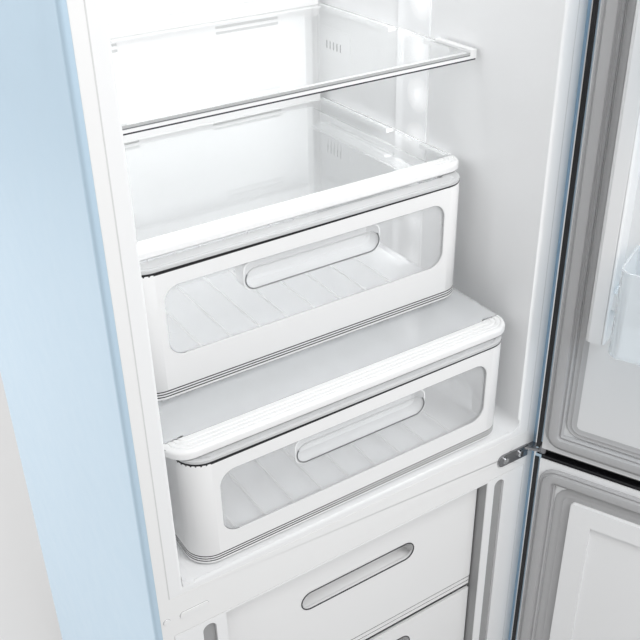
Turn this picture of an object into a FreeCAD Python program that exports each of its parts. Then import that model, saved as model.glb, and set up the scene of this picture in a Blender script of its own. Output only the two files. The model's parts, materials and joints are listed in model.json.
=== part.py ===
import FreeCAD, Part
import math
import os

# Retro bottom-freezer refrigerator, millimetres.
# Origin: centre of the cabinet's footprint, on the floor. +X to the right, +Y to the back, +Z up.
# Both doors stand open and the lower crisper is pulled out, which is the rest pose.

V = FreeCAD.Vector
UP = V(0, 0, 1)
RIGHT = V(1, 0, 0)
BACK = V(0, 1, 0)

# ---- cabinet ----
CABINET_W = 600.0
HALF = CABINET_W / 2
FRONT_Y = -290.0
REAR_Y = 271.0
CONDENSER_Y = 281.0
BASE_Z = 30.0
CABINET_TOP = 1962.0
SHEET = 1.2
REAR_SHEET = 0.8
BEND_R = 5.0
BLUE_BAND = 8.5          # width of the painted return at the cabinet's front edge
FLANGE_X = 277.0         # joint between the steel front frame and the plastic liners
JOINT_GAP = 0.4
FLANGE_RISE = 14.0       # fridge liner's flange above its ceiling
FLANGE_DROP = 12.0       # freezer liner's flange below its floor
SKIRT_Y = (FRONT_Y + 3, FRONT_Y + 5)
SKIRT_Z = (12.0, 62.0)
SKIRT_INSET = 3.0        # each end of the skirt inside the side panel
GRILLE_X = range(-240, 241, 24)
GRILLE_Z = (20.0, 52.0)
GRILLE_SLOT_W = 8.0

# ---- fridge compartment ----
FRIDGE_HALF = 259.0
FRIDGE_FLOOR = 740.0
FRIDGE_CEILING = 1890.0
FRIDGE_BACK = 214.0
MULLION_Z = (669.8, 730.3)
LINER_T = 2.5
LINER_LIP = 3.8          # rounding of the liner's mouth
LINER_CORNER_R = 12.0
DUCT_Y = 189.0
DUCT_HALF = 223.0
DUCT_FOOT_HALF = 242.0   # where its sloping cheeks meet the back wall
DUCT_BEND = 12.0
DUCT_WALL = 3.0
DUCT_Z = (FRIDGE_FLOOR + 2.0, FRIDGE_CEILING - 60.0)
VENT_H = 4.0
VENT_ROWS = 6
VENT_PITCH = 137.5
VENT_FIRST_Z = 1085.5
VENT_PAIR = 8.0          # from one slot of a pair down to the other
VENT_X = (74.0, 177.0)
VENT_LOW_X = (59.0, 177.0)
LED_Y = (-61.0, 6.0)
LED_T = 2.5
LED_END_GAP = 6.0
CONTROL_HALF = 120.0
CONTROL_Y = (-210.0, -70.0)
CONTROL_H = 34.0
DIAL_X = 70.0
DIAL_Z = FRIDGE_CEILING - 17.0
DIAL_R = 14.0
DIAL_L = 13.0
DIAL_KNURLS = 16
SPIGOT_R = 4.0
SPIGOT_L = 14.0
SPIGOT_FRONT = -222.0
LEDGE_Y = (-116.0, 180.0)
LEDGE_BREAK = 4.0        # from a ledge's end to the light column
SHELF_LEDGE = (6.0, 15.0)    # thickness, reach from the wall
CRISPER_LEDGE = (5.0, 18.0)

# ---- shelves ----
SHELF_TOPS = {"crisper": 1098.0, "middle": 1240.0, "top": 1522.0}
SHELF_HALF = 250.0
SHELF_FRONT = -157.0
SHELF_REAR = 184.0
TRIM_H = 12.0
TRIM_DEPTH = 25.0
TRIM_R = 22.0
GLASS_T = 4.0
GLASS_DROP = 2.0         # from a shelf's top down to its glass
GLASS_PLAY = 0.3         # from the glass down to its ledge
TRIM_GROOVES = (5.0, 9.0, 13.0)   # from a stepped trim's front
REAR_STOP_H = 14.0       # rear trim above the shelf's top
SLIM_TRIM_HALF = 253.5
SLIM_TRIM_H = 5.5
SLIM_TRIM_DEPTH = 11.0
CLIP_L = 69.0

# ---- crispers ----
CRISPER_HALF = 235.0
CRISPER_R = 30.0
CRISPER_DEPTH = 356.0
CRISPER_SHUT_Y = -180.0
CRISPER_PULL = 101.0     # how far the lower crisper stands out at rest
RIM_T = 4.0
GRIP_HALF = 94.5
GRIP_H = 27.0
GRIP_DROP = 48.5         # from the drawer's rim down to the middle of its grip
WINDOW_HALF = 197.0
PANEL_T = 3.0
BIN_HALF = 222.0
BIN_T = 2.5
BIN_R = 18.0
SIDE_WRAP = 60.0         # how far the front runs along the bin's sides
BIN_RIBS = range(-180, 181, 40)
WING_T = 3.0
FOOT_LINES = (3.0, 6.5, 10.0)     # fine lines above the front's foot
FOOT_LINE_H = 1.2
FOOT_LINE_DEPTH = 0.9
UPPER_CRISPER = {"front": CRISPER_SHUT_Y, "z": (917.0, 1081.0), "window": (970.0, 1060.0), "ledge": 1052.0}
LOWER_CRISPER = {"front": CRISPER_SHUT_Y - CRISPER_PULL, "z": (744.0, 892.0), "window": (780.0, 871.0),
                 "ledge": 862.0}
LID_HALF = 247.0
LID_Z = (897.0, 909.0)
LID_TRIM_Y = (8.0, 36.0)     # behind the drawer's front
LID_GLASS_Y = 14.0
LID_R = 24.0

# ---- freezer compartment ----
FREEZER_HALF = 209.0
FREEZER_FLOOR = 108.0
FREEZER_CEILING = 667.0
FREEZER_BACK = 212.0
STEP_Y = 70.0
STEP_Z = 234.0
FLANGE_T = 7.0
RECESS_X = (223.0, 241.0)
RECESS_Z = (130.0, 653.0)
RECESS_DEPTH = 5.0
RAIL_T = 4.0
RAIL_REACH = 14.0
RAIL_FRONT = -250.0
COVER_Y = 150.0
COVER_T = 3.0
DRAWER_FRONT = -273.0
DRAWER_HALF = 206.0
FREEZER_DRAWERS = {"top": {"z": (455.0, 662.0), "back": 140.0, "grip": 593.0},
                   "middle": {"z": (241.0, 448.0), "back": 140.0, "grip": 403.0},
                   "bottom": {"z": (116.0, 234.0), "back": 60.0, "grip": 187.0}}
FREEZER_GRIP_HALF = 93.0
FREEZER_GRIP_H = 30.0
FREEZER_BIN_DROP = 22.0  # from the drawer's top down to the bin's rim and wings
FREEZER_BIN_HALF = FREEZER_HALF - 18.0
FREEZER_RIBS = range(-150, 151, 50)
DRAWER_LINES = (4.0, 8.0, 12.0, 16.0)   # fine lines on a drawer's stepped foot
FAN_Z = 560.0
GRILLE_R = 46.0
MOTOR_R = 16.0
MOTOR_POST_X = (54.0, 60.0)
MOTOR_HALF_H = 12.0
SHAFT_R = 2.0
HUB_R = 11.0
BLADE_R = 44.0
BLADE_PITCH = 28.0
BLADES = 5
FIN_X = range(-160, 161, 20)
FIN_Y = (170.0, 206.0)
FIN_Z = (262.0, 470.0)
COIL_HALF = 172.0
COIL_R = 4.0
COIL_Y = (180.0, 197.0)
COIL_Z = range(282, 451, 42)
HEADER_X = 174.0

# ---- machine compartment ----
RISER_Y = 110.0
DECK_Z = 195.0
COMPRESSOR_X = 95.0
COMPRESSOR_Y = 192.0
COMPRESSOR_R = 66.0
COMPRESSOR_Z = (57.0, 123.0)  # straight part of its wall
DOME_H = 22.0
LEG_REACH = 58.0
LEG_R = 9.0
LEG_L = 30.0
RELAY_X = (-18.0, 12.0)  # from the can's left side
RELAY_HALF = 24.0
FOOT_X = 250.0
FOOT_Y = -250.0
ROLLER_X = 240.0
ROLLER_Y = 235.0
ROLLER_R = 14.0
ROLLER_W = 18.0
AXLE_R = 3.0
AXLE_HALF = 13.0
EAR_T = 2.5
EAR_HALF = 12.0
EAR_FOOT = 6.0
INLET_X = -244.0
INLET_Z = 85.0
INLET_R = 9.0
INLET_PLATE_X = (-282.0, -206.0)
INLET_PLATE_Y = (REAR_Y - 4, REAR_Y - 2)
INLET_PLATE_TOP = 130.0
COLLAR_R = INLET_R + 4
COLLAR_T = 4.0
CABLE_R = 4.0
CONDENSER_TUBE_R = 2.5
CONDENSER_BEND = 28.0
CONDENSER_REACH = 220.0
CONDENSER_ROWS = 26
CONDENSER_FOOT = 300.0
WIRE_R = 0.9
WIRE_X = range(-210, 211, 30)
STRAP_X = 150.0
STRAP_HALF = 6.0
STRAP_Z = (310.0, 1680.0)

# ---- doors (drawn shut, then turned to rest) ----
DOOR_BACK = -302.0
DOOR_CROWN = -376.0
DOOR_CROWN_R = 2600.0
DOOR_EDGE_R = 24.0
DOOR_REST = 115.0
PIN_X = 292.0
PIN_Y = -310.0
PIN_R = 4.0
PIN_GAP = 0.05
FRIDGE_DOOR_Z = (709.0, 1958.0)
FREEZER_DOOR_Z = (58.0, 699.0)
KNUCKLE_Z = (708.0, 722.0)   # open room round the pin in the upper door's lower corner
KNUCKLE_R = 9.5
BUSH_L = 16.0
BUSH_R = 6.6
CAP_T = 7.0

# ---- hinges ----
HINGE_Z = 697.5          # middle of the plate on the mullion
HINGE_PLATE_X = (224.0, 279.0)
HINGE_PLATE_HALF_H = 9.5
LEAF_Z = 702.0
LEAF_T = 4.0
LEAF_EYE_R = 7.5
MIDDLE_PIN_L = 49.0
PIN_DROP = 15.0          # middle pin below its leaf
WASHER_R = 6.2
WASHER_T = 2.4
TOP_PLATE_X = (196.0, 298.0)
TOP_PLATE_Y = (FRONT_Y + 4, FRONT_Y + 70)
TOP_EYE_R = 11.5
TOP_PIN_DROP = 22.0
SHORT_PIN_L = 24.0
BOTTOM_PLATE_X = (214.0, 291.0)
BOTTOM_PLATE_Z = (24.0, 60.0)
BOTTOM_LEAF_Z = 50.0
MIDDLE_SCREW_X = (236.0, 264.0)
TOP_SCREW_X = (220.0, 270.0)
TOP_SCREW_Y = FRONT_Y + 50
BOTTOM_SCREW_X = (228.0, 280.0)
BOTTOM_SCREW_Z = 36.0
HINGE_PLATE_T = 3.0
SCREW_HOLE_R = 2.6
SCREW_HEAD_R = 4.6
SCREW_HEAD_T = 2.4
SCREW_SHANK_R = 2.2
PLUG_X = (-267.0, -230.0)
PLUG_Z = (693.0, 702.0)
PLUG_T = 1.6
BUTTON_X = -284.0
BUTTON_Z = 698.0
BUTTON_R = 4.0
BUTTON_T = 1.4

# ---- door fittings ----
LINER_FACE = -299.5
SEAL_FACE = FRONT_Y - 0.4
SEAL_X = (264.0, 289.0)
SEAL_INSET = 14.0
HANDLE_X = -248.0
HANDLE_Y = -406.0
HANDLE_R = 11.0
HANDLE_L = 300.0
HANDLE_POST_R = 8.0
HANDLE_POST_INSET = 22.0
HANDLE_FOOT_R = 14.0
DOOR_BIN_HALF = 209.0
DOOR_BIN_Y = (-297.0, -219.0)
DOOR_BINS = {"lower": (940.0, 112.0), "middle": (1250.0, 88.0), "upper": (1550.0, 88.0)}
DOOR_BIN_T = 2.5
DOOR_BIN_R = 16.0
EAR_Y = (-292.0, -270.0)
BOSS_X = 214.0
BOSS_Y = (-290.0, -272.0)
BOSS_H = 24.0
DIKE_X = (222.0, 246.0)
DIKE_Z = (925.0, 1880.0)
DIKE_FACE = -264.0
DIKE_RIDGE_H = 24.0
FIELD_HALF = 238.0
FIELD_Z = (112.0, 640.0)
FIELD_BORDER = 32.0
FIELD_RISE = 7.0
FIELD_SUNK = 2.0
LINER_MARGIN = 4.5       # door liner inside the door's top and foot

os.makedirs("parts", exist_ok=True)


# ---------------------------------------------------------------- shape helpers

def block(x0, x1, y0, y1, z0, z1):
    """Box between two corners."""
    return Part.makeBox(x1 - x0, y1 - y0, z1 - z0, V(x0, y0, z0))


def slab(half, y0, y1, z0, z1):
    """Box centred across the object's width."""
    return block(-half, half, y0, y1, z0, z1)


def rod(start, direction, radius, length):
    """Round bar from a start point."""
    return Part.makeCylinder(radius, length, start, direction)


def fuse(shapes):
    """One solid from overlapping or touching shapes."""
    return shapes[0].multiFuse(shapes[1:]).removeSplitter()


def cut(shape, cutters):
    """Shape with every cutter taken out of it."""
    return shape.cut(Part.makeCompound(list(cutters)))


def both_sides(shape):
    """The shape and its mirror image across the middle."""
    return [shape, shape.mirror(V(0, 0, 0), RIGHT)]


def rounded(shape, radius, wanted):
    """Rounds the straight edges that run along one axis and that the test accepts."""
    edges = [e for e in shape.Edges if wanted(e)]
    return shape.makeFillet(radius, edges)


def runs(edge, axis):
    """True when an edge runs along X (0), Y (1) or Z (2)."""
    a, b = edge.Vertexes[0].Point, edge.Vertexes[-1].Point
    return all(abs(a[i] - b[i]) < 1e-6 for i in range(3) if i != axis)


def pillow(x0, x1, y0, y1, z0, z1, radius, axis):
    """Box whose four edges along one axis are rounded."""
    return rounded(block(x0, x1, y0, y1, z0, z1), radius, lambda e: runs(e, axis))


def stadium(half, z_mid, height, y0, y1):
    """Long round-ended slot along X, running from y0 to y1."""
    r = height / 2
    ends = [rod(V(x, y0, z_mid), BACK, r, y1 - y0) for x in (-half + r, half - r)]
    return fuse([slab(half - r, y0, y1, z_mid - r, z_mid + r)] + ends)


def turned(shape):
    """Moves a door piece from shut to its open rest position."""
    placed = shape.copy()
    placed.rotate(V(PIN_X, PIN_Y, 0), UP, DOOR_REST)
    return placed


def save(name, *shapes):
    """Writes one node."""
    solids = [s for shape in shapes for s in shape.Solids]
    for solid in solids:
        if not solid.isValid():
            print("invalid solid in", name)
    body = solids[0] if len(solids) == 1 else Part.makeCompound(solids)
    body.exportStep("parts/" + name + ".step")


# ---------------------------------------------------------------- cabinet

def side_panel():
    """Painted steel side with a rounded bend and a narrow return at the front."""
    z0, z1 = BASE_Z, CABINET_TOP - SHEET
    outer = block(HALF - BLUE_BAND, HALF, FRONT_Y, REAR_Y, z0, z1)
    corner = lambda e: runs(e, 2) and e.BoundBox.XMin > HALF - 2 and e.BoundBox.YMin < FRONT_Y + 2
    outer = rounded(outer, BEND_R, corner)
    inner = block(HALF - BLUE_BAND - 1, HALF - SHEET, FRONT_Y + SHEET, REAR_Y + 1, z0 - 1, z1 + 1)
    bend = lambda e: runs(e, 2) and e.BoundBox.XMin > HALF - 3 and e.BoundBox.YMin < FRONT_Y + 3
    inner = rounded(inner, BEND_R - SHEET, bend)
    return outer.cut(inner)


def top_panel():
    """Flat steel lid."""
    return slab(HALF, FRONT_Y, REAR_Y, CABINET_TOP - SHEET, CABINET_TOP)


def rear_panel():
    """Back sheet, from the machine compartment's deck up to the lid."""
    return slab(HALF - SHEET, REAR_Y - REAR_SHEET, REAR_Y, DECK_Z + SHEET, CABINET_TOP - SHEET)


def front_frame():
    """White steel frame round both openings, with the mullion between them."""
    plate = slab(HALF - BLUE_BAND, FRONT_Y, FRONT_Y + SHEET, SKIRT_Z[1], CABINET_TOP - SHEET)
    window = FLANGE_X + JOINT_GAP
    y0, y1 = FRONT_Y - 1, FRONT_Y + SHEET + 1
    upper = slab(window, y0, y1, MULLION_Z[1], FRIDGE_CEILING + FLANGE_RISE + JOINT_GAP)
    lower = slab(window, y0, y1, FREEZER_FLOOR - FLANGE_DROP - JOINT_GAP, MULLION_Z[0])
    return cut(plate, [upper, lower])


def roller_bracket(x):
    """Two ears under the tray, with a roller's axle between them."""
    y0, y1 = ROLLER_Y - EAR_HALF, ROLLER_Y + EAR_HALF
    ears = [block(x + side, x + side + EAR_T, y0, y1, EAR_FOOT, BASE_Z)
            for side in (-AXLE_HALF, AXLE_HALF - EAR_T)]
    return ears + [rod(V(x - AXLE_HALF, ROLLER_Y, ROLLER_R), RIGHT, AXLE_R, 2 * AXLE_HALF)]


def base_tray():
    """Steel tray: floor sheet, slotted front skirt, the machine compartment's riser and deck, roller
    brackets, and the plate that carries the power inlet."""
    half = HALF - SHEET
    floor = slab(half, SKIRT_Y[1], REAR_Y - REAR_SHEET, BASE_Z, BASE_Z + SHEET)
    skirt = slab(half - SKIRT_INSET, *SKIRT_Y, *SKIRT_Z)
    riser = slab(half, RISER_Y, RISER_Y + SHEET, BASE_Z, DECK_Z)
    deck = slab(half, RISER_Y, REAR_Y, DECK_Z, DECK_Z + SHEET)
    inlet_plate = block(*INLET_PLATE_X, *INLET_PLATE_Y, BASE_Z, INLET_PLATE_TOP)
    brackets = roller_bracket(-ROLLER_X) + roller_bracket(ROLLER_X)
    tray = fuse([floor, skirt, riser, deck, inlet_plate] + brackets)
    inlet = rod(V(INLET_X, REAR_Y - 10, INLET_Z), BACK, INLET_R, 20)
    half_slot = GRILLE_SLOT_W / 2
    slots = [block(x - half_slot, x + half_slot, FRONT_Y, SKIRT_Y[1] + 1, *GRILLE_Z) for x in GRILLE_X]
    return cut(tray, [inlet] + slots)


def power_inlet():
    """Round gland through the inlet plate, with a collar on each side of the sheet."""
    y0, y1 = INLET_PLATE_Y[0] - 2 * COLLAR_T, INLET_PLATE_Y[1] + 10
    body = rod(V(INLET_X, y0, INLET_Z), BACK, INLET_R, y1 - y0)
    collar = rod(V(INLET_X, INLET_PLATE_Y[1], INLET_Z), BACK, COLLAR_R, COLLAR_T)
    nut = rod(V(INLET_X, INLET_PLATE_Y[0] - COLLAR_T, INLET_Z), BACK, COLLAR_R, COLLAR_T)
    bore = rod(V(INLET_X, y0 - 1, INLET_Z), BACK, CABLE_R, y1 - y0 + 2)
    return fuse([body, collar, nut]).cut(bore)


def ledge_pair(z_top, size):
    """Support ledges on both walls of the fridge liner, broken where the light columns run."""
    thickness, reach = size
    x0, x1 = FRIDGE_HALF - reach, FRIDGE_HALF + 1
    spans = [(LEDGE_Y[0], LED_Y[0] - LEDGE_BREAK), (LED_Y[1] + LEDGE_BREAK, LEDGE_Y[1])]
    rails = [block(x0, x1, y0, y1, z_top - thickness, z_top) for y0, y1 in spans]
    return [side for rail in rails for side in both_sides(rail)]


def fridge_void():
    """Room inside the fridge liner, with its rounded back corners."""
    room = slab(FRIDGE_HALF, FRONT_Y - 5, FRIDGE_BACK, FRIDGE_FLOOR, FRIDGE_CEILING)
    back_corner = lambda e: runs(e, 2) and e.BoundBox.YMin > FRIDGE_BACK - 1
    return rounded(room, LINER_CORNER_R, back_corner)


def fridge_liner_solid():
    """Outer shape of the fridge liner: the tub and its front flange."""
    t = LINER_T
    tub = slab(FRIDGE_HALF + t, FRONT_Y, FRIDGE_BACK + t, FRIDGE_FLOOR - t, FRIDGE_CEILING + t)
    flange_z = (MULLION_Z[1] + JOINT_GAP, FRIDGE_CEILING + FLANGE_RISE)
    flange = slab(FLANGE_X, FRONT_Y, FRONT_Y + t + 2, *flange_z)
    return fuse([tub, flange])


def fridge_liner():
    """White moulded tub with a rounded mouth, and shelf and crisper ledges on its side walls."""
    tub = fridge_liner_solid().cut(fridge_void())
    mouth = []
    for e in tub.Edges:
        b = e.BoundBox
        inside = b.XMin > -FRIDGE_HALF - 1 and b.XMax < FRIDGE_HALF + 1
        if b.YMax < FRONT_Y + 0.1 and inside and b.ZMin > FRIDGE_FLOOR - 1 and b.ZMax < FRIDGE_CEILING + 1:
            mouth.append(e)
    tub = tub.makeFillet(LINER_LIP, mouth)
    rails = []
    for top in SHELF_TOPS.values():
        rails += ledge_pair(top - GLASS_DROP - GLASS_T - GLASS_PLAY, SHELF_LEDGE)
    for crisper in (UPPER_CRISPER, LOWER_CRISPER):
        rails += ledge_pair(crisper["ledge"], CRISPER_LEDGE)
    return fuse([tub] + rails)


def freezer_void():
    """Room inside the freezer liner, stepped over the machine compartment."""
    low = slab(FREEZER_HALF, FRONT_Y - 5, STEP_Y, FREEZER_FLOOR, FREEZER_CEILING)
    high = slab(FREEZER_HALF, STEP_Y - 1, FREEZER_BACK, STEP_Z, FREEZER_CEILING)
    return fuse([low, high])


def freezer_liner_solid():
    """Outer shape of the freezer liner: stepped tub and its wide front flange."""
    t = LINER_T
    low = slab(FREEZER_HALF + t, FRONT_Y, STEP_Y + t, FREEZER_FLOOR - t, FREEZER_CEILING + t)
    high = slab(FREEZER_HALF + t, STEP_Y, FREEZER_BACK + t, STEP_Z - t, FREEZER_CEILING + t)
    flange_z = (FREEZER_FLOOR - FLANGE_DROP, MULLION_Z[0] - JOINT_GAP)
    flange = slab(FLANGE_X, FRONT_Y, FRONT_Y + FLANGE_T, *flange_z)
    return fuse([low, high, flange])


def flange_recesses():
    """Round-ended recess down each side of the freezer liner's flange."""
    (x0, x1), (z0, z1) = RECESS_X, RECESS_Z
    r = (x1 - x0) / 2
    y0, y1 = FRONT_Y - 1, FRONT_Y + RECESS_DEPTH
    ends = [rod(V(x0 + r, y0, z), BACK, r, y1 - y0) for z in (z0, z1)]
    return both_sides(fuse([block(x0, x1, y0, y1, z0, z1)] + ends))


def freezer_liner():
    """White moulded tub. Its wide flange is recessed down each side, and ledges carry the drawers."""
    tub = freezer_liner_solid().cut(freezer_void())
    tub = cut(tub, flange_recesses())
    rails = []
    for drawer in FREEZER_DRAWERS.values():
        top = drawer["z"][1] - FREEZER_BIN_DROP - RAIL_T
        y1 = drawer["back"] - 10
        rail = block(FREEZER_HALF - RAIL_REACH, FREEZER_HALF + 1, RAIL_FRONT, y1, top - RAIL_T, top)
        rails += both_sides(rail)
    return fuse([tub] + rails)


def insulation(cavities):
    """Foam that fills the cabinet between the steel shell and the liners."""
    half = HALF - SHEET
    z1 = CABINET_TOP - SHEET
    foam = slab(half, FRONT_Y + SHEET, REAR_Y - REAR_SHEET, BASE_Z + SHEET, z1)
    machine = slab(half + 1, RISER_Y, REAR_Y + 1, BASE_Z, DECK_Z + SHEET)
    skirt = slab(half + 1, FRONT_Y, SKIRT_Y[1], BASE_Z, SKIRT_Z[1])
    bend_room = block(half - 6, half + 1, FRONT_Y, FRONT_Y + 8, BASE_Z, z1 + 1)
    return cut(foam, [machine, skirt, fridge_void(), freezer_void()] + both_sides(bend_room) + cavities)


def air_duct_cover():
    """Moulded panel on the fridge's back wall with pairs of thin air slots under each shelf."""
    z0, z1 = DUCT_Z
    outline = [V(-DUCT_FOOT_HALF, FRIDGE_BACK, z0), V(-DUCT_FOOT_HALF, DUCT_Y + DUCT_BEND, z0),
               V(-DUCT_HALF, DUCT_Y, z0), V(DUCT_HALF, DUCT_Y, z0),
               V(DUCT_FOOT_HALF, DUCT_Y + DUCT_BEND, z0), V(DUCT_FOOT_HALF, FRIDGE_BACK, z0)]
    face = Part.Face(Part.makePolygon(outline + outline[:1]))
    panel = face.extrude(V(0, 0, z1 - z0))
    t = DUCT_WALL
    hollow = slab(DUCT_HALF - t, DUCT_Y + t, FRIDGE_BACK + 1, z0 + t, z1 - t)
    slots = []
    for row in range(VENT_ROWS):
        x0, x1 = VENT_X if row else VENT_LOW_X
        for level in (0.0, VENT_PAIR):
            z = VENT_FIRST_Z + row * VENT_PITCH - level
            slot = block(x0, x1, DUCT_Y - 1, DUCT_Y + t + 1, z - VENT_H / 2, z + VENT_H / 2)
            slots += both_sides(slot)
    return cut(panel, [hollow] + slots)


def led_covers():
    """Translucent light columns, one down each side wall."""
    z0, z1 = FRIDGE_FLOOR + LED_END_GAP, FRIDGE_CEILING - LED_END_GAP
    return both_sides(block(FRIDGE_HALF - LED_T, FRIDGE_HALF, *LED_Y, z0, z1))


def control_panel():
    """Housing under the ceiling with the fridge's electronics and a spigot for the dial."""
    z0, z1 = FRIDGE_CEILING - CONTROL_H, FRIDGE_CEILING
    body = pillow(-CONTROL_HALF, CONTROL_HALF, *CONTROL_Y, z0, z1, 6.0, 1)
    spigot = rod(V(DIAL_X, SPIGOT_FRONT, DIAL_Z), BACK, SPIGOT_R, SPIGOT_L)
    return fuse([body, spigot])


def thermostat_dial():
    """Knurled knob on the control panel's spigot."""
    front = SPIGOT_FRONT - 2
    knob = rod(V(DIAL_X, front, DIAL_Z), BACK, DIAL_R, DIAL_L)
    bore = rod(V(DIAL_X, SPIGOT_FRONT - 0.2, DIAL_Z), BACK, SPIGOT_R + PIN_GAP, SPIGOT_L)
    rim = DIAL_R + 0.4
    grooves = []
    for k in range(DIAL_KNURLS):
        a = 2 * math.pi * k / DIAL_KNURLS
        start = V(DIAL_X + rim * math.cos(a), front - 1, DIAL_Z + rim * math.sin(a))
        grooves.append(rod(start, BACK, 1.2, DIAL_L - 3))
    return cut(knob, [bore] + grooves)


# ---------------------------------------------------------------- shelves

def glass_plate(half, y0, y1, top, corner_r):
    """Toughened glass plate with round front corners."""
    plate = slab(half, y0, y1, top - GLASS_T, top)
    return rounded(plate, corner_r, lambda e: runs(e, 2) and e.BoundBox.YMax < y0 + 1)


def rear_trim(top):
    """Raised strip that stops things touching the back."""
    strip = slab(SHELF_HALF - 8, SHELF_REAR - 12, SHELF_REAR, top - 8, top + REAR_STOP_H)
    gap = slab(SHELF_HALF, SHELF_REAR - 13, SHELF_REAR - 4, top - 6, top - 2)
    step = slab(SHELF_HALF, SHELF_REAR - 13, SHELF_REAR - 3, top - 2, top + REAR_STOP_H + 1)
    return cut(strip, [gap, step])


def trim_grooves(half, front, top):
    """Fine grooves along a stepped trim."""
    return [slab(half + 1, front + d, front + d + 1, top - 0.8, top + 1) for d in TRIM_GROOVES]


def crisper_cover(top):
    """Fixed glass over the upper crisper, its stepped front trim with round corners, its rear trim."""
    glass = glass_plate(SHELF_HALF, SHELF_FRONT + 6, SHELF_REAR - 2, top - GLASS_DROP, TRIM_R)
    front = slab(SHELF_HALF, SHELF_FRONT, SHELF_FRONT + TRIM_DEPTH, top - TRIM_H, top)
    front = rounded(front, TRIM_R, lambda e: runs(e, 2) and e.BoundBox.YMax < SHELF_FRONT + 1)
    front = cut(front, trim_grooves(SHELF_HALF, SHELF_FRONT, top) + [glass])
    return glass, [front, rear_trim(top).cut(glass)]


def loose_shelf(top):
    """Sliding glass shelf: its slim front trim, a clip at each front corner and its rear trim."""
    z1 = top - GLASS_DROP
    z0 = z1 - GLASS_T
    glass = glass_plate(SHELF_HALF, SHELF_FRONT + 0.5, SHELF_REAR - 2, z1, 3.0)
    front = slab(SLIM_TRIM_HALF, SHELF_FRONT, SHELF_FRONT + SLIM_TRIM_DEPTH, z0 - SLIM_TRIM_H, z0)
    clips = both_sides(block(SHELF_HALF - 6, SLIM_TRIM_HALF, SHELF_FRONT, SHELF_FRONT + CLIP_L, z0, z1 + 3))
    return glass, [fuse([front] + clips).cut(glass), rear_trim(top).cut(glass)]


# ---------------------------------------------------------------- crispers

def crisper_front(c):
    """White front that wraps round both corners, with a window opening and fine lines near its foot."""
    y, (z0, rim) = c["front"], c["z"]
    z1 = rim - 2
    y1 = y + SIDE_WRAP
    front_corner = lambda e: runs(e, 2) and e.BoundBox.YMax < y + PANEL_T + 1
    outer = rounded(slab(CRISPER_HALF, y, y1, z0, z1), CRISPER_R, front_corner)
    inner = slab(CRISPER_HALF - PANEL_T, y + PANEL_T, y1 + 1, z0 - 1, z1 + 1)
    inner = rounded(inner, CRISPER_R - PANEL_T, front_corner)
    low, high = c["window"]
    window = pillow(-WINDOW_HALF, WINDOW_HALF, y - 1, y + PANEL_T + 2, low, high, 20.0, 1)
    panel = cut(outer, [inner, window])
    d = FOOT_LINE_DEPTH
    core = rounded(slab(CRISPER_HALF - d, y + d, y1 + 1, z0, z1), CRISPER_R - d, front_corner)
    shell = outer.cut(core)
    levels = [z0 + line for line in FOOT_LINES]
    lines = [shell.common(slab(HALF, y - 1, y1 + 1, z, z + FOOT_LINE_H)) for z in levels]
    return cut(panel, lines)


def finger_pocket(half, z_mid, height, y0, wall):
    """Box behind a grip hole, open at the hole, and the room inside it."""
    r = height / 2
    pocket = pillow(-half, half, y0, y0 + 25, z_mid - r - 6, z_mid + r + 8, 6.0, 0)
    room = pillow(-half + wall, half - wall, y0 - 4, y0 + 23, z_mid - r - 4, z_mid + r + 6, 5.0, 0)
    return pocket, room


def crisper_bin(c):
    """Clear bin: rim on top of the front panel, side flanges that run on the liner's ledges, ribbed
    floor, and a finger pocket behind the grip hole."""
    y, (z0, rim) = c["front"], c["z"]
    y0 = y + PANEL_T + 0.3
    y1 = y + CRISPER_DEPTH
    floor_z = z0 + 3
    bin_corner = lambda e: runs(e, 2) and e.BoundBox.YMax < y0 + BIN_T + 1
    body = rounded(slab(BIN_HALF, y0, y1, floor_z, rim), BIN_R, bin_corner)
    hollow = slab(BIN_HALF - BIN_T, y0 + BIN_T, y1 - BIN_T, floor_z + BIN_T, rim + 10)
    hollow = rounded(hollow, BIN_R - BIN_T, bin_corner)
    front_corner = lambda e: runs(e, 2) and e.BoundBox.YMax < y + 1
    lip = rounded(slab(CRISPER_HALF, y, y + SIDE_WRAP + 2, rim, rim + RIM_T), CRISPER_R, front_corner)
    back_lip = slab(BIN_HALF, y + SIDE_WRAP + 1, y1, rim, rim + RIM_T)
    wing_z = c["ledge"] + GLASS_PLAY
    wing = block(BIN_HALF - 1, FRIDGE_HALF - 11, y + SIDE_WRAP + 4, y1, wing_z, wing_z + WING_T)
    tub = cut(fuse([body, lip, back_lip] + both_sides(wing)), [hollow])
    z_grip = rim + RIM_T - GRIP_DROP
    half = GRIP_HALF + 5
    pocket, room = finger_pocket(half, z_grip, GRIP_H, y0 + 1, 2)
    front_wall = slab(half + 5, y0 - 4, y0 + BIN_T, z_grip - GRIP_H, z_grip + GRIP_H)
    hole = stadium(GRIP_HALF, z_grip, GRIP_H, y0 - 2, y0 + 10)
    tub = cut(fuse([tub, pocket]), [room.cut(front_wall), hole])
    rib_z = floor_z + BIN_T
    ribs = [block(x - 1, x + 1, y0 + 20, y1 - 20, rib_z - 0.5, rib_z + 1.5) for x in BIN_RIBS]
    return fuse([tub] + ribs)


def crisper_lid():
    """Glass lid of the lower crisper and its stepped front trim."""
    y = LOWER_CRISPER["front"]
    z0, z1 = LID_Z
    glass = glass_plate(LID_HALF, y + LID_GLASS_Y, y + CRISPER_DEPTH, z1 - GLASS_DROP, LID_R)
    front, back = y + LID_TRIM_Y[0], y + LID_TRIM_Y[1]
    trim = slab(LID_HALF, front, back, z0, z1)
    trim = rounded(trim, LID_R, lambda e: runs(e, 2) and e.BoundBox.YMax < front + 1)
    return glass, cut(trim, trim_grooves(LID_HALF, front, z1) + [glass])


# ---------------------------------------------------------------- freezer

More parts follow.
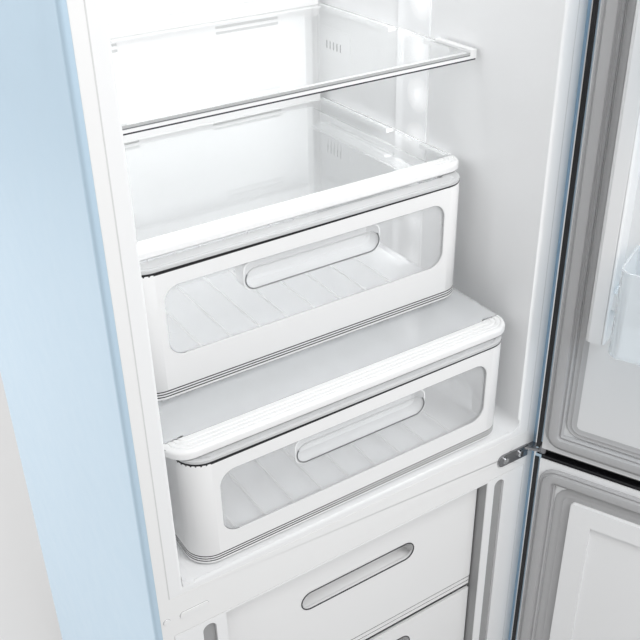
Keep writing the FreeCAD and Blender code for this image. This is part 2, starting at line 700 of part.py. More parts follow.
def freezer_drawer_front(drawer):
    """White front with a long grip hole, a pocket behind it and a stepped foot."""
    y = DRAWER_FRONT
    low, high = drawer["z"]
    plate = slab(DRAWER_HALF, y, y + 4, low, high)
    step = slab(DRAWER_HALF + 1, y - 1, y + 1, low - 1, low + 20)
    z = drawer["grip"]
    r = FREEZER_GRIP_H / 2
    half = FREEZER_GRIP_HALF + 5
    pocket = pillow(-half, half, y + 3, y + 30, z - r - 5, z + r + 7, 6.0, 0)
    room = pillow(-half + 2, half - 2, y + 4, y + 28, z - r - 3, z + r + 5, 5.0, 0)
    hole = stadium(FREEZER_GRIP_HALF, z, FREEZER_GRIP_H, y - 1, y + 12)
    lines = [slab(DRAWER_HALF + 1, y, y + 1.8, low + d, low + d + 1) for d in DRAWER_LINES]
    return cut(fuse([plate, pocket]), [step, room, hole] + lines)


def freezer_drawer_bin(drawer):
    """Bin behind the drawer front: floor, two sides, back and the wings that rest on the ledges."""
    y = DRAWER_FRONT + 4
    low, high = drawer["z"]
    back = drawer["back"]
    half = FREEZER_BIN_HALF
    top = high - FREEZER_BIN_DROP
    floor_z = low + 3
    t = BIN_T
    body = slab(half, y, back, floor_z, top)
    hollow = slab(half - t, y - 1, back - t, floor_z + t, top + 1)
    wing = block(half - 1, FREEZER_HALF - 3, y + 22, back - 3, top - RAIL_T + GLASS_PLAY, top)
    rib_z = floor_z + t
    ribs = [block(x - 1, x + 1, y + 20, back - 20, rib_z - 0.5, rib_z + 1.5) for x in FREEZER_RIBS]
    return fuse([body.cut(hollow)] + both_sides(wing) + ribs)


def freezer_back_cover():
    """Panel in front of the evaporator with a fan grille, and the fan's motor on its back."""
    y, z = COVER_Y, FAN_Z
    plate = slab(FREEZER_HALF - 1, y, y + COVER_T, STEP_Z + 1, FREEZER_CEILING - 1)
    holes = []
    for x in range(-42, 43, 12):
        reach = math.sqrt(GRILLE_R ** 2 - x ** 2)
        holes.append(block(x - 4, x + 4, y - 1, y + COVER_T + 1, z - reach, z + reach))
    plate = cut(plate, holes)
    x0, x1 = MOTOR_POST_X
    h = MOTOR_HALF_H
    bridge = slab(x1, y + 42, y + 45, z - h, z + h)
    posts = both_sides(block(x0, x1, y + 2, y + 44, z - h, z + h))
    motor = rod(V(0, y + 26, z), BACK, MOTOR_R, 17)
    shaft = rod(V(0, y + 8, z), BACK, SHAFT_R, 20)
    return fuse([plate, bridge, motor, shaft] + posts)


def evaporator_fan():
    """Hub and pitched blades on the motor's shaft."""
    z, y = FAN_Z, COVER_Y + 8
    hub = rod(V(0, y, z), BACK, HUB_R, 16)
    blades = []
    for k in range(BLADES):
        blade = block(HUB_R - 2, BLADE_R, y + 6, y + 8, z - 13, z + 13)
        blade.rotate(V(0, y + 7, z), RIGHT, BLADE_PITCH)
        blade.rotate(V(0, y, z), BACK, 360 / BLADES * k)
        blades.append(blade)
    bore = rod(V(0, y - 1, z), BACK, SHAFT_R + PIN_GAP, 18)
    return fuse([hub] + blades).cut(bore)


def evaporator():
    """Finned coil behind the freezer's back cover."""
    fins = [block(x, x + 0.8, *FIN_Y, *FIN_Z) for x in FIN_X]
    pipes = [rod(V(-COIL_HALF, y, z), RIGHT, COIL_R, 2 * COIL_HALF) for z in COIL_Z for y in COIL_Y]
    low, high = COIL_Z[0] - 6, COIL_Z[-1] + 6
    headers = both_sides(block(HEADER_X - 3, HEADER_X + 3, COIL_Y[0] - 4, COIL_Y[1] + 4, low, high))
    return fuse(fins + pipes + headers)


# ---------------------------------------------------------------- doors

def door_plan(inset, back):
    """Door outline seen from above: square back corners, round front corners, crowned front."""
    half = HALF - inset
    r = DOOR_EDGE_R - inset
    crown_r = DOOR_CROWN_R - inset
    crown_y = DOOR_CROWN + inset
    centre_y = crown_y + crown_r
    cx = half - r
    cy = centre_y - math.sqrt((crown_r - r) ** 2 - cx ** 2)
    lean = math.atan2(cx, centre_y - cy)
    touch = V(crown_r * math.sin(lean), centre_y - crown_r * math.cos(lean), 0)
    bend = (lean + math.pi / 2) / 2
    middle = V(cx + r * math.sin(bend), cy - r * math.cos(bend), 0)
    side = V(half, cy, 0)
    flip = lambda p: V(-p.x, p.y, 0)
    edges = [Part.LineSegment(V(half, back, 0), side), Part.Arc(side, middle, touch),
             Part.Arc(touch, V(0, crown_y, 0), flip(touch)),
             Part.Arc(flip(touch), flip(middle), flip(side)),
             Part.LineSegment(flip(side), V(-half, back, 0)),
             Part.LineSegment(V(-half, back, 0), V(half, back, 0))]
    return Part.Face(Part.Wire([e.toShape() for e in edges]))


def door_body(inset, back, z0, z1, round_top=0.0, round_foot=0.0):
    """Door outline raised from z0 to z1, with its top or foot rounded over the front."""
    body = door_plan(inset, back).extrude(V(0, 0, z1 - z0))
    body.translate(V(0, 0, z0))
    envelope = slab(HALF + 5, DOOR_CROWN + inset, back + 5, z0, z1)
    for radius, z in ((round_top, z1), (round_foot, z0)):
        if radius:
            nose = lambda e: runs(e, 0) and e.BoundBox.YMax < DOOR_CROWN + inset + 1 \
                and abs(e.BoundBox.ZMin - z) < 0.1
            envelope = rounded(envelope, radius, nose)
    return body.common(envelope)


def knuckle_room():
    """Open room round the middle hinge's collar in the upper door's lower corner."""
    return rod(V(PIN_X, PIN_Y, KNUCKLE_Z[0]), UP, KNUCKLE_R, KNUCKLE_Z[1] - KNUCKLE_Z[0])


def hinge_block(top_of_cap):
    """Moulded block of the upper door's lower cap that holds its bush above the knuckle room."""
    return block(PIN_X - 20, HALF, PIN_Y - 20, 0, top_of_cap, KNUCKLE_Z[1] + BUSH_L)


def door_skin(z0, z1, top, foot):
    """Painted steel shell, closed at its rounded end, with narrow returns on the inner side."""
    outer = door_body(0, DOOR_BACK, z0, z1, top, foot)
    low = z0 + SHEET if foot else z0 - 1
    high = z1 - SHEET if top else z1 + 1
    inner = door_body(SHEET, DOOR_BACK + 1, low, high, max(top - SHEET, 0), max(foot - SHEET, 0))
    lips = both_sides(block(HALF - BLUE_BAND, HALF - 0.6, DOOR_BACK - SHEET, DOOR_BACK, low + 1, high - 1))
    pin_z = z1 - 3 if top else z0 - 3
    pin_hole = rod(V(PIN_X, PIN_Y, pin_z), UP, PIN_R + 1.5, 6)
    shell = fuse([outer.cut(inner)] + [lip.common(outer) for lip in lips])
    return cut(shell, [pin_hole, knuckle_room()])


def door_caps(z0, z1, top, foot):
    """Black end caps with the hinge bushes, and the black strip down the hinge edge."""
    low = z0 + (SHEET if foot else 0)
    high = z1 - (SHEET if top else 0)
    back = DOOR_BACK - SHEET
    caps = []
    whole = door_body(SHEET, back, low, high, max(top - SHEET, 0), max(foot - SHEET, 0))
    for z, up in ((low, 1), (high - CAP_T, -1)):
        plate = whole.common(slab(HALF, DOOR_CROWN, 0, z, z + CAP_T))
        bush_z = z if up > 0 else z + CAP_T - BUSH_L
        bush = rod(V(PIN_X, PIN_Y, bush_z), UP, BUSH_R, BUSH_L)
        if top and up > 0:
            bush = hinge_block(z)
        bore = rod(V(PIN_X, PIN_Y, z - 20), UP, PIN_R + PIN_GAP, 60)
        caps.append(cut(fuse([plate, bush.common(whole)]), [bore, knuckle_room()]))
    strip = block(HALF - 6, HALF, DOOR_BACK, DOOR_BACK + 2, z0 + 4, z1 - 4)
    return caps + [strip.cut(knuckle_room())]


def door_core(z0, z1, top, foot):
    """Foam that fills the door between its skin, caps and inner liner."""
    low = z0 + (SHEET if foot else 0)
    high = z1 - (SHEET if top else 0)
    whole = door_body(SHEET, DOOR_BACK, low, high, max(top - SHEET, 0), max(foot - SHEET, 0))
    middle = whole.common(slab(HALF, DOOR_CROWN, 0, low + CAP_T, high - CAP_T))
    lips = both_sides(block(HALF - BLUE_BAND, HALF, DOOR_BACK - SHEET, DOOR_BACK + 1, z0, z1))
    bushes = [rod(V(PIN_X, PIN_Y, z), UP, BUSH_R + 0.1, BUSH_L + 1) for z in (low, high - BUSH_L - 1)]
    if top:
        bushes.append(hinge_block(low))
    return cut(middle, lips + bushes)


def door_liner(z0, z1, field):
    """Inner sheet. The field pieces stand on it: bin carriers or a raised panel."""
    sheet = slab(HALF - BLUE_BAND, DOOR_BACK, LINER_FACE, z0 + LINER_MARGIN, z1 - LINER_MARGIN)
    return fuse([sheet] + field).cut(knuckle_room())


def fridge_door_field():
    """Two upright dikes, a cross ridge at the top and the bosses that carry the bins."""
    pieces = both_sides(pillow(*DIKE_X, LINER_FACE - 5, DIKE_FACE, *DIKE_Z, 5.0, 2))
    ridge_foot = DIKE_Z[1] - DIKE_RIDGE_H
    pieces.append(slab(DIKE_X[1] - 4, LINER_FACE - 1, DIKE_FACE - 6, ridge_foot, DIKE_Z[1]))
    for z0, height in DOOR_BINS.values():
        boss_top = z0 + height / 2
        pieces += both_sides(block(BOSS_X, DIKE_X[0] + 1, *BOSS_Y, boss_top - BOSS_H, boss_top))
    return [p.common(slab(HALF, LINER_FACE - 1, 0, 0, CABINET_TOP)) for p in pieces]


def freezer_door_field():
    """Raised panel with a sunk middle."""
    z0, z1 = FIELD_Z
    panel = pillow(-FIELD_HALF, FIELD_HALF, LINER_FACE - 5, LINER_FACE + FIELD_RISE, z0, z1, 5.0, 1)
    border = FIELD_BORDER
    y0, y1 = LINER_FACE + FIELD_SUNK, LINER_FACE + FIELD_RISE + 1
    sunk = slab(FIELD_HALF - border, y0, y1, z0 + border, z1 - border)
    return [panel.cut(sunk).common(slab(HALF, LINER_FACE - 1, 0, 0, CABINET_TOP))]


def door_gasket(z0, z1):
    """Rubber seal round the door's inner side."""
    outer = slab(SEAL_X[1], LINER_FACE, SEAL_FACE, z0, z1)
    width = SEAL_X[1] - SEAL_X[0]
    inner = slab(SEAL_X[0], LINER_FACE - 1, SEAL_FACE + 1, z0 + width, z1 - width)
    return outer.cut(inner)


def door_handle(z_mid, span):
    """Chrome bar on two posts whose round feet follow the door's crown."""
    z0, z1 = z_mid - HANDLE_L / 2, z_mid + HANDLE_L / 2
    post_levels = (z0 + HANDLE_POST_INSET, z1 - HANDLE_POST_INSET)
    face_y = DOOR_CROWN + HANDLE_X ** 2 / (2 * DOOR_CROWN_R)
    bar = rod(V(HANDLE_X, HANDLE_Y, z0), UP, HANDLE_R, HANDLE_L)
    ends = [Part.makeSphere(HANDLE_R, V(HANDLE_X, HANDLE_Y, z)) for z in (z0, z1)]
    post_l = face_y - HANDLE_Y + 4
    posts = [rod(V(HANDLE_X, HANDLE_Y, z), BACK, HANDLE_POST_R, post_l) for z in post_levels]
    feet = [rod(V(HANDLE_X, face_y - 5, z), BACK, HANDLE_FOOT_R, 9) for z in post_levels]
    handle = fuse([bar] + ends + posts + feet)
    return handle.cut(door_body(0, DOOR_BACK, *span))


def door_bin(z0, height):
    """Clear bin with hooked ears that sit on the liner's bosses."""
    y0, y1 = DOOR_BIN_Y
    t = DOOR_BIN_T
    inner_corner = lambda e: runs(e, 2) and e.BoundBox.YMin > y1 - 4
    body = rounded(slab(DOOR_BIN_HALF, y0, y1, z0, z0 + height), DOOR_BIN_R, inner_corner)
    hollow = slab(DOOR_BIN_HALF - t, y0 + t, y1 - t, z0 + t, z0 + height + 1)
    hollow = rounded(hollow, DOOR_BIN_R - t, inner_corner)
    ear_z = z0 + height / 2 + GLASS_PLAY
    ears = both_sides(block(DOOR_BIN_HALF - 1, DIKE_X[0] - 1.5, *EAR_Y, ear_z, ear_z + 6))
    return fuse([body.cut(hollow)] + ears)


# ---------------------------------------------------------------- hinges and hardware

def hinge_leaf(z0, thickness, reach):
    """Flat arm that reaches from the cabinet's front out to the hinge pin."""
    r = LEAF_EYE_R
    outline = [V(PIN_X - reach, FRONT_Y, z0), V(PIN_X - 2, FRONT_Y, z0), V(PIN_X + r, PIN_Y, z0),
               V(PIN_X - r, PIN_Y, z0), V(PIN_X - reach, FRONT_Y - 3, z0)]
    arm = Part.Face(Part.makePolygon(outline + outline[:1])).extrude(V(0, 0, thickness))
    eye = rod(V(PIN_X, PIN_Y, z0), UP, r, thickness)
    return fuse([arm, eye])


def hinge_middle():
    """Plate on the mullion, arm, and one pin up and one pin down."""
    h = HINGE_PLATE_HALF_H
    plate = block(*HINGE_PLATE_X, FRONT_Y - HINGE_PLATE_T, FRONT_Y, HINGE_Z - h, HINGE_Z + h)
    plate = rounded(plate, 9.0, lambda e: runs(e, 1) and e.BoundBox.XMax < HINGE_PLATE_X[0] + 6)
    pin = rod(V(PIN_X, PIN_Y, LEAF_Z - PIN_DROP), UP, PIN_R, MIDDLE_PIN_L)
    washer = rod(V(PIN_X, PIN_Y, LEAF_Z - WASHER_T), UP, WASHER_R, WASHER_T)
    leaf_top = LEAF_Z + LEAF_T
    knuckle = rod(V(PIN_X, PIN_Y, leaf_top), UP, LEAF_EYE_R, KNUCKLE_Z[1] - leaf_top - 0.5)
    knuckle = knuckle.makeFillet(2.5, [e for e in knuckle.Edges if e.BoundBox.ZMin > KNUCKLE_Z[1] - 1])
    leaf = hinge_leaf(LEAF_Z, LEAF_T, 20.0)
    holes = [rod(V(x, FRONT_Y - 4, HINGE_Z), BACK, SCREW_HOLE_R, 5) for x in MIDDLE_SCREW_X]
    return cut(fuse([plate, leaf, pin, washer, knuckle]), holes)


def hinge_top():
    """Plate on the cabinet's lid, with the arm and the pin that goes down into the upper door."""
    z = CABINET_TOP
    plate = pillow(*TOP_PLATE_X, *TOP_PLATE_Y, z, z + LEAF_T, 8.0, 2)
    arm = block(PIN_X - 16, PIN_X + 6, PIN_Y, FRONT_Y + 10, z, z + LEAF_T)
    eye = rod(V(PIN_X - 4, PIN_Y, z), UP, TOP_EYE_R, LEAF_T)
    pin = rod(V(PIN_X, PIN_Y, z - TOP_PIN_DROP), UP, PIN_R, SHORT_PIN_L)
    holes = [rod(V(x, TOP_SCREW_Y, z - 1), UP, SCREW_HOLE_R, LEAF_T + 2) for x in TOP_SCREW_X]
    return cut(fuse([plate, arm, eye, pin]), holes)


def hinge_bottom():
    """Bracket on the tray's skirt, with the pin that goes up into the freezer door."""
    plate = block(*BOTTOM_PLATE_X, FRONT_Y, SKIRT_Y[0], *BOTTOM_PLATE_Z)
    leaf = hinge_leaf(BOTTOM_LEAF_Z, LEAF_T, 60.0)
    pin = rod(V(PIN_X, PIN_Y, BOTTOM_LEAF_Z + 1), UP, PIN_R, SHORT_PIN_L)
    holes = [rod(V(x, FRONT_Y - 1, BOTTOM_SCREW_Z), BACK, SCREW_HOLE_R, 8) for x in BOTTOM_SCREW_X]
    return cut(fuse([plate, leaf, pin]), holes)


def screw(point, inward, shank):
    """Pan-head screw, its shank pointing inward."""
    head = rod(point - inward * SCREW_HEAD_T, inward, SCREW_HEAD_R, SCREW_HEAD_T)
    return fuse([head, rod(point, inward, SCREW_SHANK_R, shank)])


def hinge_screws():
    """Two screws in each hinge."""
    screws = [screw(V(x, FRONT_Y - HINGE_PLATE_T, HINGE_Z), BACK, 12) for x in MIDDLE_SCREW_X]
    screws += [screw(V(x, TOP_SCREW_Y, CABINET_TOP + LEAF_T), -UP, 12) for x in TOP_SCREW_X]
    screws += [screw(V(x, FRONT_Y, BOTTOM_SCREW_Z), BACK, 10) for x in BOTTOM_SCREW_X]
    return screws


def mullion_plugs():
    """Snap-in covers over the unused hinge holes on the left of the mullion."""
    oval = pillow(*PLUG_X, FRONT_Y - PLUG_T, FRONT_Y, *PLUG_Z, 4.2, 1)
    button = rod(V(BUTTON_X, FRONT_Y - BUTTON_T, BUTTON_Z), BACK, BUTTON_R, BUTTON_T)
    return [oval, button]


def compressor():
    """Welded steel can with domed ends on three rubber-footed legs, and its start-relay box."""
    x, y = COMPRESSOR_X, COMPRESSOR_Y
    low, high = COMPRESSOR_Z
    wall = rod(V(x, y, low - DOME_H), UP, COMPRESSOR_R, high - low + 2 * DOME_H)
    ball_r = (COMPRESSOR_R ** 2 + DOME_H ** 2) / (2 * DOME_H)
    upper_ball = Part.makeSphere(ball_r, V(x, y, high + DOME_H - ball_r))
    lower_ball = Part.makeSphere(ball_r, V(x, y, low - DOME_H + ball_r))
    can = wall.common(upper_ball).common(lower_ball)
    legs = []
    for a in (30, 150, 270):
        c, s = math.cos(math.radians(a)), math.sin(math.radians(a))
        legs.append(rod(V(x + LEG_REACH * c, y + LEG_REACH * s, BASE_Z + SHEET), UP, LEG_R, LEG_L))
    side = x - COMPRESSOR_R
    relay = block(side + RELAY_X[0], side + RELAY_X[1], y - RELAY_HALF, y + RELAY_HALF, low + 14, high - 8)
    return fuse([can] + legs + [relay])


def condenser_tube():
    """Serpentine tube: level runs joined by half circles."""
    y, bend, reach = CONDENSER_Y, CONDENSER_BEND, CONDENSER_REACH
    edges = []
    for row in range(CONDENSER_ROWS):
        z = CONDENSER_FOOT + row * 2 * bend
        side = -1 if row % 2 else 1
        edges.append(Part.LineSegment(V(-side * reach, y, z), V(side * reach, y, z)).toShape())
        if row < CONDENSER_ROWS - 1:
            half_circle = Part.Arc(V(side * reach, y, z), V(side * (reach + bend), y, z + bend),
                                   V(side * reach, y, z + 2 * bend))
            edges.append(half_circle.toShape())
    start = V(-reach, y, CONDENSER_FOOT)
    ring = Part.Wire([Part.Circle(start, RIGHT, CONDENSER_TUBE_R).toShape()])
    return Part.Wire(edges).makePipeShell([ring], True, False)


def condenser():
    """Serpentine tube, its upright wires and its two straps on the cabinet's back."""
    y, r = CONDENSER_Y, CONDENSER_TUBE_R
    wire_l = (CONDENSER_ROWS - 1) * 2 * CONDENSER_BEND + 20
    wires = [rod(V(x, y + r + 1, CONDENSER_FOOT - 10), UP, WIRE_R, wire_l) for x in WIRE_X]
    strap = block(STRAP_X - STRAP_HALF, STRAP_X + STRAP_HALF, REAR_Y, y - r, *STRAP_Z)
    return [condenser_tube()] + wires + both_sides(strap)


def front_foot(x):
    """Levelling foot: threaded stem, hexagon and round pad."""
    pad = Part.makeCone(20, 16, 8, V(x, FOOT_Y, 0), UP)
    stem = rod(V(x, FOOT_Y, 7), UP, 5, BASE_Z - 7)
    nut = rod(V(x, FOOT_Y, 14), UP, 9, 6)
    return fuse([pad, stem, nut])


def rear_roller(x):
    """Nylon roller with a groove round its middle, on the tray's axle."""
    ring = lambda width, radius: rod(V(x - width / 2, ROLLER_Y, ROLLER_R), RIGHT, radius, width)
    wheel = ring(ROLLER_W, ROLLER_R)
    groove = ring(4, ROLLER_R + 1).cut(ring(6, ROLLER_R - 1.5))
    return wheel.cut(groove).cut(ring(ROLLER_W + 2, AXLE_R + PIN_GAP))


# ---------------------------------------------------------------- build

def build_cabinet():
    panel_right, panel_left = both_sides(side_panel())
    screws = hinge_screws()
    save("side_panel_right", panel_right)
    save("side_panel_left", panel_left)
    save("top_panel", cut(top_panel(), screws))
    save("rear_panel", rear_panel())
    save("front_frame", cut(front_frame(), screws))
    save("base_tray", cut(base_tray(), screws))
    save("fridge_liner", fridge_liner())
    save("freezer_liner", freezer_liner())
    save("insulation", insulation([fridge_liner_solid(), freezer_liner_solid()] + screws))
    save("air_duct_cover", air_duct_cover())
    save("led_covers", *led_covers())
    save("control_panel", control_panel())
    save("thermostat_dial", thermostat_dial())
    save("power_inlet", power_inlet())
    save("hinge_middle", hinge_middle())
    save("hinge_top", hinge_top())
    save("hinge_bottom", hinge_bottom())
    save("hinge_screws", *screws)
    save("mullion_plugs", *mullion_plugs())
    save("compressor", compressor())
    save("condenser", *condenser())
    save("front_feet", front_foot(-FOOT_X), front_foot(FOOT_X))
    save("rear_roller_left", rear_roller(-ROLLER_X))
    save("rear_roller_right", rear_roller(ROLLER_X))
    save("freezer_back_cover", freezer_back_cover())
    save("evaporator", evaporator())
    save("evaporator_fan", evaporator_fan())


def build_inside():
    for name, top in SHELF_TOPS.items():
        glass, trims = crisper_cover(top) if name == "crisper" else loose_shelf(top)
        save("shelf_" + name + "_glass", glass)
        save("shelf_" + name + "_trims", *trims)
    for name, crisper in (("upper", UPPER_CRISPER), ("lower", LOWER_CRISPER)):
        save("crisper_" + name + "_bin", crisper_bin(crisper))
        save("crisper_" + name + "_front", crisper_front(crisper))
    glass, trim = crisper_lid()
    save("crisper_lower_lid_glass", glass)
    save("crisper_lower_lid_trim", trim)
    for name, drawer in FREEZER_DRAWERS.items():
        save("freezer_drawer_" + name + "_front", freezer_drawer_front(drawer))
        save("freezer_drawer_" + name + "_bin", freezer_drawer_bin(drawer))


def build_door(name, span, top, foot, field, handle_z):
    z0, z1 = span
    save(name + "_skin", turned(door_skin(z0, z1, top, foot)))
    save(name + "_caps", *[turned(cap) for cap in door_caps(z0, z1, top, foot)])
    save(name + "_core", turned(door_core(z0, z1, top, foot)))
    save(name + "_liner", turned(door_liner(z0, z1, field)))
    save(name + "_gasket", turned(door_gasket(z0 + SEAL_INSET, z1 - SEAL_INSET)))
    save(name + "_handle", turned(door_handle(handle_z, span)))


def build_doors():
    build_door("fridge_door", FRIDGE_DOOR_Z, 34.0, 0.0, fridge_door_field(), 940.0)
    build_door("freezer_door", FREEZER_DOOR_Z, 0.0, 18.0, freezer_door_field(), 480.0)
    for name, (z0, height) in DOOR_BINS.items():
        save("door_bin_" + name, turned(door_bin(z0, height)))


build_cabinet()
build_inside()
build_doors()
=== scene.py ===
import json
import math

import bmesh
import bpy
from mathutils import Matrix, Vector


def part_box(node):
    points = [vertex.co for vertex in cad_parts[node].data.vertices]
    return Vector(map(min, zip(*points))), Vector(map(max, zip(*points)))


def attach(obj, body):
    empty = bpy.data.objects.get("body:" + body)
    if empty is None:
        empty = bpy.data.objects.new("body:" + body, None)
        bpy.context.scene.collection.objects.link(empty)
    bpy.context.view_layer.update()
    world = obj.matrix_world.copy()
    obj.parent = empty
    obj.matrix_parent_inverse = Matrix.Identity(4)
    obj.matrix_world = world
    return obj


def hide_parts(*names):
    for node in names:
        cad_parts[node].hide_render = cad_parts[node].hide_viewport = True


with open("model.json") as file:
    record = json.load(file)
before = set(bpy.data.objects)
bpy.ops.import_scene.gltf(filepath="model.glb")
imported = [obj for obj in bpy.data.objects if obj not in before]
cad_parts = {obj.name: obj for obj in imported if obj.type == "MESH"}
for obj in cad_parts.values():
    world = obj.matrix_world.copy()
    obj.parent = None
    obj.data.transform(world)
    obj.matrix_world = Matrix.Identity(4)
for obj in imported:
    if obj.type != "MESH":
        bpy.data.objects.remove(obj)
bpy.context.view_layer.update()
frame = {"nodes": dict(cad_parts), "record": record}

# Retro bottom-freezer refrigerator: camera, light, finishes and detailed pieces round the CAD nodes.
# Metres in the CAD's own frame: origin on the floor under the middle of the cabinet, +Z up,
# -Y out of the door side.

MM = 0.001
NODES = frame["nodes"]
scene = bpy.context.scene


# ---------------------------------------------------------------- camera, light, floor

LENS = 52.72
SENSOR_WIDTH = 36.0
NEAR_CLIP = 0.01
CAMERA_PLACE = (-0.5321, -1.0210, 1.5486)
CAMERA_RIGHT = (0.8374, -0.5469, -0.0169)
CAMERA_BACK = (-0.4611, -0.7236, 0.5136)

WHITE = (1.0, 1.0, 1.0, 1.0)
WORLD_LIGHT = 0.52
BACKDROP_LIGHT = 1.0
# Each soft box: name, place, the point it faces, size, watts.
SOFT_BOXES = (
    ("key", (0.0, -1.35, 2.5), (0.0, -0.1, 1.0), 0.9, 17.5),
    ("right", (0.35, -1.15, 1.35), (0.1, -0.2, 0.85), 0.4, 3.1),
    ("left", (-2.6, 1.7, 1.8), (-0.3, 0.0, 1.1), 1.6, 72.0),
    ("rear", (1.2, 2.8, 2.6), (0.0, 0.2, 1.0), 2.0, 30.0),
)
# Light of the cabinet's own lamps: name, place, the point it faces, width, height, watts.
CABINET_LIGHTS = (
    ("column_light_-1", (-0.250, -0.03, 1.33), (0.0, 0.05, 1.33), 0.05, 0.95, 0.62),
    ("column_light_1", (0.250, -0.03, 1.33), (0.0, 0.05, 1.33), 0.05, 0.95, 0.62),
    ("ceiling_light", (0.0, -0.02, 1.84), (0.0, 0.02, 1.0), 0.4, 0.3, 0.6),
)
FLOOR_SIZE = 14.0
FLOOR_Z = -0.5 * MM


def make_camera():
    """Looks down into the open cabinet from the left, a little above its middle."""
    data = bpy.data.cameras.new("camera")
    data.lens = LENS
    data.sensor_width = SENSOR_WIDTH
    data.clip_start = NEAR_CLIP
    camera = bpy.data.objects.new("camera", data)
    scene.collection.objects.link(camera)
    right = Vector(CAMERA_RIGHT).normalized()
    back = Vector(CAMERA_BACK).normalized()
    up = back.cross(right).normalized()
    right = up.cross(back)
    turn = Matrix((right, up, back)).transposed()
    camera.matrix_world = Matrix.Translation(CAMERA_PLACE) @ turn.to_4x4()
    scene.camera = camera


def area_light(name, place, target, size, watts):
    """Square white soft box at a place, turned towards a point."""
    data = bpy.data.lights.new(name, "AREA")
    data.shape = "SQUARE"
    data.size = size
    data.energy = watts
    lamp = bpy.data.objects.new(name, data)
    scene.collection.objects.link(lamp)
    lamp.location = place
    lamp.rotation_euler = (Vector(target) - Vector(place)).to_track_quat("-Z", "Y").to_euler()
    return lamp


def strip_light(name, place, target, width, height, watts):
    """Oblong soft box that isn't seen itself, directly, through glass or as a reflection."""
    lamp = area_light(name, place, target, width, watts)
    lamp.data.shape = "RECTANGLE"
    lamp.data.size_y = height
    lamp.visible_camera = False
    lamp.visible_transmission = False
    lamp.visible_glossy = False


def make_world():
    """Even white light, with a brighter white behind everything."""
    world = bpy.data.worlds.new("studio")
    scene.world = world
    world.use_nodes = True
    tree = world.node_tree
    lit = tree.nodes["Background"]
    lit.inputs["Color"].default_value = WHITE
    lit.inputs["Strength"].default_value = WORLD_LIGHT
    seen = tree.nodes.new("ShaderNodeBackground")
    seen.inputs["Color"].default_value = WHITE
    seen.inputs["Strength"].default_value = BACKDROP_LIGHT
    path = tree.nodes.new("ShaderNodeLightPath")
    mix = tree.nodes.new("ShaderNodeMixShader")
    tree.links.new(path.outputs["Is Camera Ray"], mix.inputs[0])
    tree.links.new(lit.outputs["Background"], mix.inputs[1])
    tree.links.new(seen.outputs["Background"], mix.inputs[2])
    tree.links.new(mix.outputs["Shader"], tree.nodes["World Output"].inputs["Surface"])


def make_studio():
    """White surroundings, soft boxes, the light inside the cabinet and a pale floor."""
    make_world()
    for light in SOFT_BOXES:
        area_light(*light)
    for light in CABINET_LIGHTS:
        strip_light(*light)
    bpy.ops.mesh.primitive_plane_add(size=FLOOR_SIZE, location=(0.0, 0.0, FLOOR_Z))
    floor = bpy.context.object
    floor.name = "floor"
    pale = surface("floor_pale", (0.70, 0.70, 0.70), 0.01, 0.6, 0.05, 900.0, 0.00002)
    floor.data.materials.append(pale)
    scene.view_settings.view_transform = "Standard"
    scene.view_settings.look = "None"


# ---------------------------------------------------------------- materials

NOISE_LOW = 0.3
NOISE_HIGH = 0.7
DRIFT_SCALE = 7.0
PATCH_SCALE = 38.0
SMEAR_SCALE = 14.0
COAT_ROUGHNESS = 0.08
SPANGLE_SCALE = 70.0
DIFFUSER_SCALE = 90.0
# Diodes behind the light covers: lowest one, spacing, depth in the cabinet, reach of each spot of light.
DIODE_Z = 1.092
DIODE_PITCH = 0.062
DIODE_Y = -0.043
DIODE_REACH = 0.026
GLOW_AT_DIODE = 0.44
GLOW_BETWEEN = 0.14


def bare_material(name):
    """New material with its node tree, its Principled node and its object coordinates."""
    mat = bpy.data.materials.new(name)
    mat.use_nodes = True
    tree = mat.node_tree
    coords = tree.nodes.new("ShaderNodeTexCoord")
    return mat, tree, tree.nodes["Principled BSDF"], coords.outputs["Object"]


def noise(tree, coords, scale, detail=3.0, stretch=(1.0, 1.0, 1.0)):
    """Noise texture's value socket; stretch squeezes it along an axis."""
    place = tree.nodes.new("ShaderNodeMapping")
    place.inputs["Scale"].default_value = stretch
    tree.links.new(coords, place.inputs["Vector"])
    texture = tree.nodes.new("ShaderNodeTexNoise")
    texture.inputs["Scale"].default_value = scale
    texture.inputs["Detail"].default_value = detail
    tree.links.new(place.outputs["Vector"], texture.inputs["Vector"])
    return texture.outputs["Fac"]


def spread(tree, value, low, high):
    """Maps the middle of a noise value to a range."""
    ramp = tree.nodes.new("ShaderNodeMapRange")
    ramp.inputs["From Min"].default_value = NOISE_LOW
    ramp.inputs["From Max"].default_value = NOISE_HIGH
    ramp.inputs["To Min"].default_value = low
    ramp.inputs["To Max"].default_value = high
    tree.links.new(value, ramp.inputs["Value"])
    return ramp.outputs["Result"]


def tint(tree, value, first, second):
    """Colour between two colours by a noise value."""
    mix = tree.nodes.new("ShaderNodeMix")
    mix.data_type = "RGBA"
    mix.inputs[6].default_value = (*first, 1.0)
    mix.inputs[7].default_value = (*second, 1.0)
    tree.links.new(spread(tree, value, 0.0, 1.0), mix.inputs[0])
    return mix.outputs[2]


def bump(tree, shader, value, height):
    """Gives a shader a bump of a height in metres."""
    node = tree.nodes.new("ShaderNodeBump")
    node.inputs["Strength"].default_value = 1.0
    node.inputs["Distance"].default_value = height
    tree.links.new(value, node.inputs["Height"])
    tree.links.new(node.outputs["Normal"], shader.inputs["Normal"])


